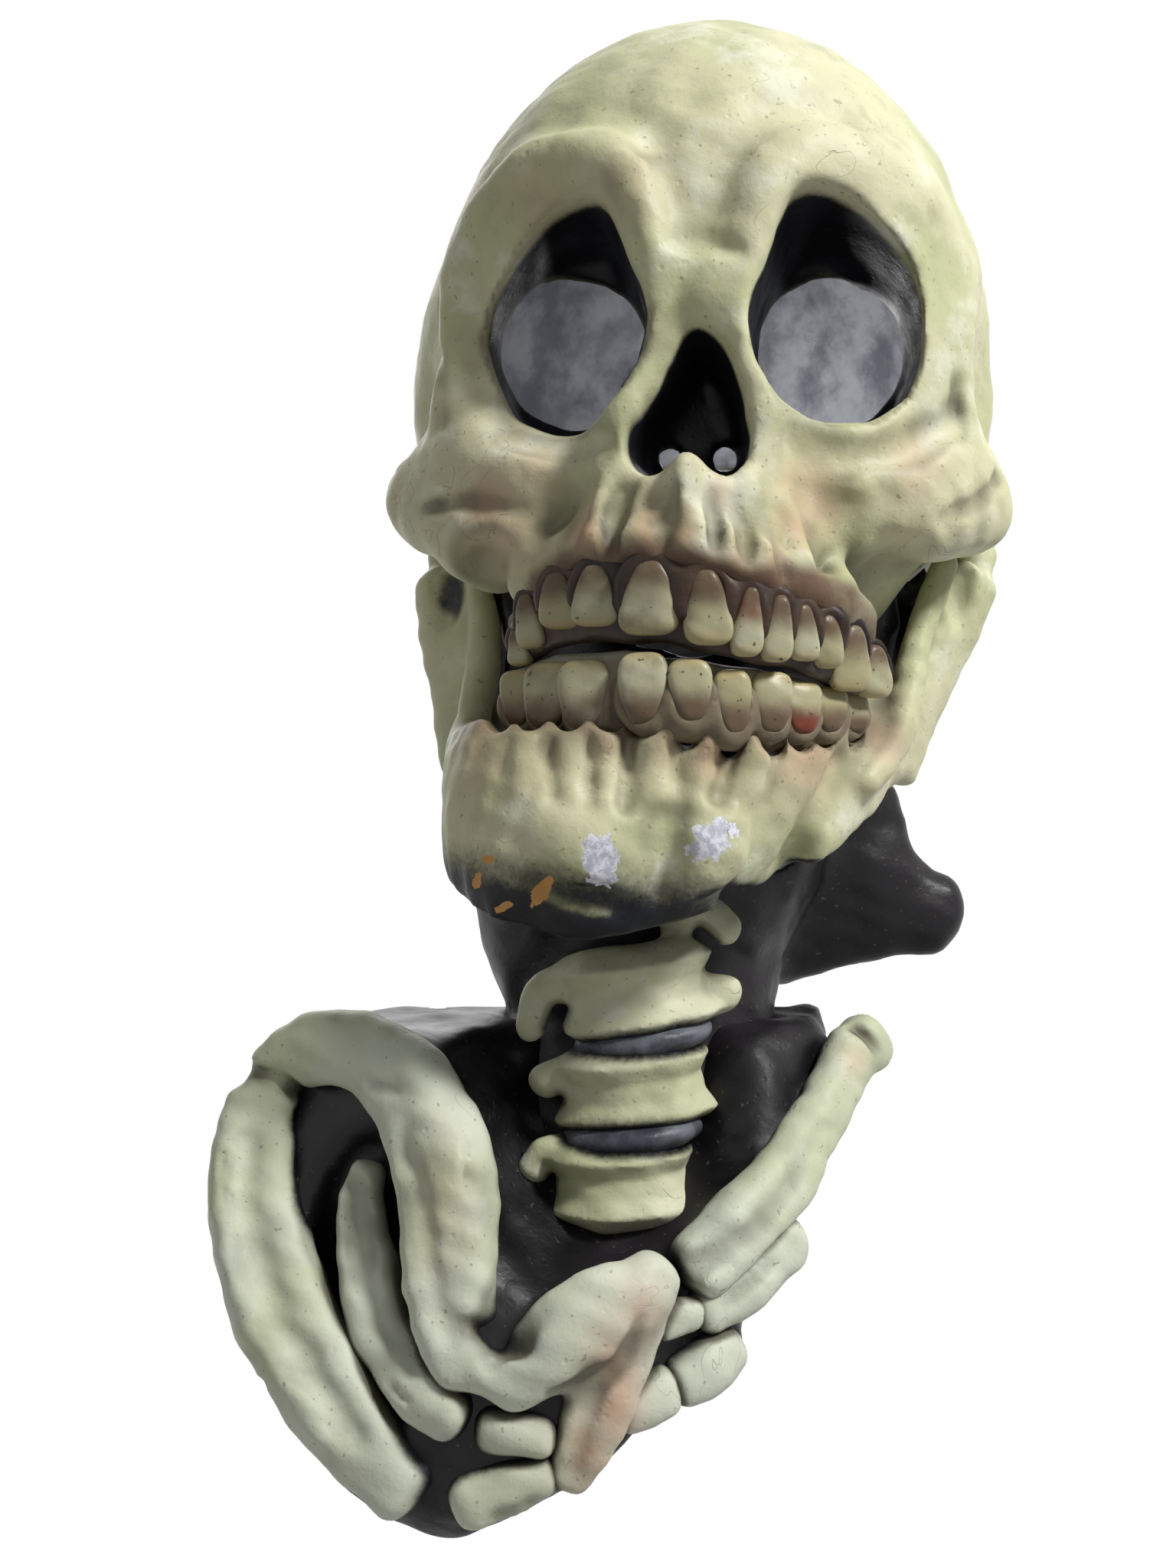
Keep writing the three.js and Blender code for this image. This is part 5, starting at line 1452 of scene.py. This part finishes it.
# %% Cream, patches and painted shade in the creases
bone = Paint("bone_paint", 0.5, 0.6)
bone.base(bone.pattern("Blotch", 0.38, 0.62), (0.52, 0.54, 0.31), (0.66, 0.64, 0.42))
bone.coat(bone.pattern("Patch", 0.5, 0.72), (0.76, 0.77, 0.60))
bone.coat(bone.pattern("Patch", 0.46, 0.3, 0, 0.55), (0.40, 0.40, 0.24))
bone.coat(bone.both(bone.mark("pale"), bone.pattern("Blotch", 0.35, 0.6, 0.35, 0.8)), (0.66, 0.71, 0.60))
bone.coat(bone.both(bone.mark("blush"), bone.pattern("Patch", 0.25, 0.6, 0.45, 1.0)), (0.60, 0.36, 0.24))
# Painted shade: olive grey in the wide hollows, and dark brown, partly a wash, in the tight creases.
bone.coat(bone.mark("shade", 0.35, 1.0, 0, 0.5), (0.17, 0.17, 0.11))
bone.coat(bone.mark("crease", 0.25, 1.0, 0, 0.85), (0.075, 0.066, 0.045))
bone.coat(bone.both(bone.mark("gum"), bone.pattern("Patch", 0.3, 0.5, 0.7, 1)), (0.14, 0.085, 0.055))
bone.coat(bone.both(bone.worn["Dots"], 0.45), (0.14, 0.12, 0.07))
bone.coat(bone.both(bone.worn["Hairs"], 0.3), (0.20, 0.17, 0.10))

# %% [markdown]
# Two white chips and a few orange flakes show on the chin, where the paint has come off. Their places
# were found on the clay of the jaw. A chip is where the distance to its middle, with some noise added, is
# under one.

# %% Sprayed black and painted shade, flakes and chips
object_at = add_node(bone.tree, "TexCoord").outputs["Object"]
ragged = bone.both(bone.sums("SUBTRACT", noise(bone.tree, object_at, 260, 4, 0.65), 0.5), 2.6)


def ragged_spots(spots):
    """Crisp islands with torn edges round places in the object's coordinates."""
    tree, best = bone.tree, None
    for place, radii, turn in spots:
        centre = tuple((np.array(place) - origin) / 1000)
        turned = add_node(tree, "VectorRotate", object_at, centre, rotation_type="Y_AXIS")
        turned.inputs["Angle"].default_value = math.radians(turn)
        shifted = add_node(tree, "VectorMath", turned.outputs[0], centre, operation="SUBTRACT")
        shares = tuple(1000 / np.array(radii))
        scaled = add_node(tree, "VectorMath", shifted.outputs[0], shares, operation="MULTIPLY")
        far = add_node(tree, "VectorMath", scaled.outputs[0], operation="LENGTH").outputs["Value"]
        best = far if best is None else bone.sums("MINIMUM", best, far)
    return between(tree, bone.sums("ADD", best, ragged), 1.03, 0.97)


# The black mark is sprayed black in the sockets and the nose, and painted shade under the jaw, in the mouth
# and round the feet of the bones.
black = bone.mark("black")
grainy = bone.both(bone.sums("SUBTRACT", bone.worn["Grain"], 0.5), 0.45)
spray_and_shade = bone.sums("ADD", black, bone.both(grainy, between(bone.tree, black, 0, 0.15)))
black_for_spray_and_shade = bone.two_tones(bone.pattern("Patch", 0.5, 0.75), (0.004, 0.004, 0.006), (0.02, 0.022, 0.03))
bone.coat(between(bone.tree, spray_and_shade, 0.08, 0.92), black_for_spray_and_shade)
bone.coat(ragged_spots(flake_marks), (0.60, 0.31, 0.10))
bone.coat(ragged_spots(chin_chips),
          bone.two_tones(bone.pattern("Grain", 0.4, 0.6), (0.50, 0.50, 0.58), (0.80, 0.80, 0.86)))
bone.coat(bone.mark("lining"),
          bone.two_tones(bone.pattern("Patch", 0.35, 0.65), (0.15, 0.157, 0.18), (0.40, 0.41, 0.44)))
bone.dry(0.42, 0.6)

# %% [markdown]
# ## Tooth and gum paint
# A tooth is yellow at its tip and brown towards its root, with pale patches that are painted highlights,
# and a few are sore red. The root number runs from tip to root, and the tone number differs from tooth to
# tooth, so one material paints them all.

# %% Tooth paint
enamel = Paint("tooth_paint", 0.34, 0.35)
root = enamel.mark("root")
enamel.base(enamel.mark("tone"), (0.48, 0.47, 0.32), (0.41, 0.37, 0.205))
enamel.coat(between(enamel.tree, root, 0.25, 0.0, 0, 0.6), (0.45, 0.34, 0.14))
stain = enamel.sums("ADD", root, enamel.both(enamel.worn["Patch"], 0.5))
enamel.coat(between(enamel.tree, stain, 0.58, 1.05, 0, 0.95), (0.12, 0.075, 0.045))
enamel.coat(enamel.pattern("Patch", 0.47, 0.32, 0, 0.7), (0.22, 0.19, 0.11))
# Painted highlights: pale patches on the teeth.
enamel.coat(enamel.pattern("Blotch", 0.55, 0.7, 0, 0.7), (0.80, 0.78, 0.62))
enamel.coat(enamel.both(enamel.worn["Dots"], 0.8), (0.04, 0.03, 0.02))
enamel.coat(enamel.worn["Hairs"], (0.05, 0.04, 0.03))
sore = enamel.both(enamel.mark("sore"), enamel.pattern("Patch", 0.48, 0.58))
enamel.coat(enamel.both(sore, between(enamel.tree, root, 0.35, 0.9, 0, 0.8)), (0.22, 0.035, 0.02))
enamel.dry()

# %% Gum paint
gum = Paint("gum_paint", 0.45, 0.6)
gum.base(gum.pattern("Patch", 0.35, 0.65), (0.010, 0.007, 0.006), (0.060, 0.034, 0.023))
gum.coat(gum.both(gum.mark("low"), gum.pattern("Patch", 0.35, 0.6, 0.3, 0.85)), (0.22, 0.18, 0.115))
gum.coat(gum.both(gum.mark("lip"), gum.pattern("Patch", 0.3, 0.5, 0.5, 1)), (0.26, 0.26, 0.19))
# Painted shade: near black in the creases and on the faces that look back into the mouth.
gum.coat(gum.mark("crease", 0.4, 1.0, 0, 0.9), (0.015, 0.012, 0.012))
gum.coat(gum.mark("inside"), (0.006, 0.006, 0.007))
gum.dry()

# %% [markdown]
# ## Black and grey latex, steel and floor
# The sleeve and the bib are nearly black with a dull sheen that changes from patch to patch. The discs
# are a mottled grey. The hanger's steel has dull spots and a few specks of rust.

# %% Black and grey latex
black_latex = Paint("black_latex", 0.42, 0.5)
black_latex.base(black_latex.pattern("Blotch", 0.4, 0.65), (0.004, 0.004, 0.005), (0.014, 0.012, 0.014))
black_latex.coat(black_latex.pattern("Patch", 0.6, 0.8, 0, 0.4), (0.04, 0.037, 0.043))
black_latex.coat(black_latex.worn["Dots"], (0.07, 0.045, 0.03))
black_latex.dry(0.34, 0.52)

grey_latex = Paint("grey_latex", 0.4, 0.6)
grey_latex.base(grey_latex.pattern("Patch", 0.35, 0.6), (0.035, 0.037, 0.05), (0.15, 0.16, 0.18))
grey_latex.coat(grey_latex.worn["Hairs"], (0.3, 0.3, 0.28))
grey_latex.dry()

# %% Steel
steel = Paint("worn_steel", 0.3, 0.12, metal=1.0)
steel.base(steel.pattern("Patch", 0.4, 0.65), (0.58, 0.57, 0.55), (0.42, 0.41, 0.40))
steel.coat(steel.worn["Dots"], (0.16, 0.09, 0.05))
steel.dry(0.24, 0.45)

# %% [markdown]
# The floor is pale, and to the camera it is mixed with plain white, so that it fades into the background
# and keeps a faint shadow. Stronger lamps would whiten it too, but they would bleach the bones.

# %% Floor paint
floor_whitening = 0.8
pale_floor = Paint("pale_floor", 0.8, 0.05)
pale_floor.base(pale_floor.worn["Blotch"], (0.78, 0.78, 0.78), (0.82, 0.82, 0.82))
pale_floor.dry()
white = add_node(pale_floor.tree, "Emission", (1, 1, 1, 1))
to_camera = add_node(pale_floor.tree, "LightPath").outputs["Is Camera Ray"]
mixed = add_node(pale_floor.tree, "MixShader", pale_floor.both(to_camera, floor_whitening),
                 pale_floor.shader.outputs[0], white.outputs[0])
pale_floor.tree.links.new(mixed.outputs[0], pale_floor.tree.nodes["Material Output"].inputs["Surface"])

# %% [markdown]
# ## Which paint goes on which piece
# The sculpted pieces take a material of their own. The strap, the ring and the screws are solids whose
# shape is right already, so they stay, and only their material slots change.

# %% Painting
painted = [(bone, [skull_piece, jaw_piece, pad_piece, *vertebra_pieces, *bone_pieces.values()]),
           (black_latex, [sleeve_piece, bib_piece]), (enamel, upper_pieces + lower_pieces),
           (grey_latex, disc_pieces), (gum, [upper_band_piece, lower_band_piece])]
for paint, pieces in painted:
    for piece in pieces:
        piece.data.materials.append(paint.material)
hanger_steel = ("hanger_strap", "hanger_ring", "hanger_screw_1", "hanger_screw_2")
for name in hanger_steel:
    for slot in bpy.data.objects[name].material_slots:
        slot.material = steel.material
print("painted:", sum(len(pieces) for _, pieces in painted) + len(hanger_steel))

# %% [markdown]
# ## What each piece rides on
# A loose jaw has to swing with its teeth, and everything else stays with the mask. Parenting would do it
# by hand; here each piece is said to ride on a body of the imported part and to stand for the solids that
# it covers.

# %% Ride and replace
def dress(piece, body, slot, *nodes):
    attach(piece, body)
    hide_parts(*nodes)


dress(skull_piece, "mask", "bone_latex", "forehead_right", "forehead_left", "cheek_right", "cheek_left",
      "rear_shell")
dress(pad_piece, "mask", "bone_latex", "hanger_pad")
dress(jaw_piece, "jaw", "bone_latex", "jaw")
dress(sleeve_piece, "mask", "black_latex", "neck_sleeve", "sleeve_base", "neck_lobe")
dress(bib_piece, "mask", "black_latex", "chest_bib")
dress(upper_band_piece, "mask", "grey_latex", "upper_tooth_bed")
dress(lower_band_piece, "jaw", "grey_latex", "lower_tooth_bed")
for name, piece in zip(vertebra_names, vertebra_pieces):
    dress(piece, "mask", "bone_latex", "vertebra_" + name)
for name, piece in zip(disc_names, disc_pieces):
    dress(piece, "mask", "grey_latex", "disc_" + name)
for name, piece in bone_pieces.items():
    dress(piece, "mask", "bone_latex", *(front_names if name == "front_bones" else (name,)))
for i, piece in enumerate(upper_pieces):
    dress(piece, "mask", "tooth_latex", f"upper_tooth_{i + 1}")
for i, piece in enumerate(lower_pieces):
    dress(piece, "jaw", "tooth_latex", f"lower_tooth_{i + 1}")
print("teeth that swing with the jaw:", len(lower_pieces))

# %% [markdown]
# ## Camera
# The camera stands where the view was drawn from: low, half a metre from the face, and level. A lens of
# 35 mm on a frame 36 mm high gives the same perspective, so the nose looms and the chest runs back.

# %% Camera
camera = into_scene("camera", bpy.data.cameras.new("camera"))
camera.location = (eye_at - origin) / 1000
camera.rotation_euler = (math.radians(90), 0, 0)
camera.data.sensor_fit, camera.data.sensor_height, camera.data.lens = "VERTICAL", 36, 35
camera.data.clip_start = 0.05
bpy.context.scene.camera = camera
print("the camera stands at", [round(v, 3) for v in camera.location])

# %% [markdown]
# ## Light
# The real light comes from above at the right, with little fill from the left. A large box behind lights
# the back of the skull for the other views, and a small lamp in the hollow stands for the daylight that
# falls on the lining behind the eye holes.

# %% Lamps
def soft_box(name, place, aim, size, power):
    light = into_scene(name, bpy.data.lights.new(name, "AREA"))
    light.visible_camera = False
    light.data.size, light.data.energy = size, power
    light.location = place
    light.rotation_euler = (Vector(aim) - Vector(place)).to_track_quat("-Z", "Y").to_euler()


soft_box("key_light", (0.98, -0.9, 1.0), (0, -0.15, -0.1), 0.3, 30)
soft_box("fill_light", (-1.3, -1.1, 0.25), (0, -0.15, -0.15), 1.0, 1.1)
soft_box("back_light", (-0.5, 1.5, 0.7), (0, -0.1, -0.1), 1.4, 12)
glow = into_scene("glow_in_the_hollow", bpy.data.lights.new("glow_in_the_hollow", "POINT"))
glow.data.energy, glow.data.shadow_soft_size, glow.visible_camera = 0.11, 0.012, False
glow.location = (0.0226, -0.078, 0.004)
print("lamps:", len(bpy.data.lights))

# %% [markdown]
# The world is a weak white for the light that it sheds, and full white where the camera, a reflection or
# glass looks at it. A white wall behind the object would do as well, but it would stand in the way of the
# other views.

# %% White surroundings
sky_strength = 0.2
world = bpy.data.worlds.new("studio")
bpy.context.scene.world = world
world.use_nodes = True
studio = world.node_tree
sky = studio.nodes["Background"]
sky.inputs["Color"].default_value, sky.inputs["Strength"].default_value = (1, 1, 1, 1), sky_strength
seen = add_node(studio, "Background", (1, 1, 1, 1))
path = add_node(studio, "LightPath").outputs
rays = sums(studio, "MAXIMUM", path["Is Camera Ray"], path["Is Glossy Ray"])
rays = sums(studio, "MAXIMUM", rays, path["Is Transmission Ray"])
mix = add_node(studio, "MixShader", rays, sky.outputs[0], seen.outputs[0])
studio.links.new(mix.outputs[0], studio.nodes["World Output"].inputs["Surface"])

# %% Floor
floor_radius, floor_middle = 1.1, (0, -0.15, -1.1)
floor_mesh = bpy.data.meshes.new("floor")
bm = bmesh.new()
bmesh.ops.create_circle(bm, cap_ends=True, segments=64, radius=floor_radius)
bmesh.ops.translate(bm, vec=floor_middle, verts=bm.verts)
bm.to_mesh(floor_mesh)
bm.free()
floor = into_scene("floor", floor_mesh)
floor_mesh.materials.append(pale_floor.material)
floor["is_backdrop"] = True
bpy.context.scene.view_settings.view_transform = "Standard"

# %% [markdown]
# ## Sizes
# The box of the solids and the box of the sculpted pieces are kept side by side. The sculpted
# pieces have to stay inside the box of the solids.

# %% Sizes and finish
bpy.context.view_layer.update()
seen_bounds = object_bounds()
plain_list = lambda box: [[float(v) for v in corner] for corner in box]
{"cad": plain_list(cad_bounds), "visual": plain_list(seen_bounds)}
print("seconds:", round(time.time() - start))
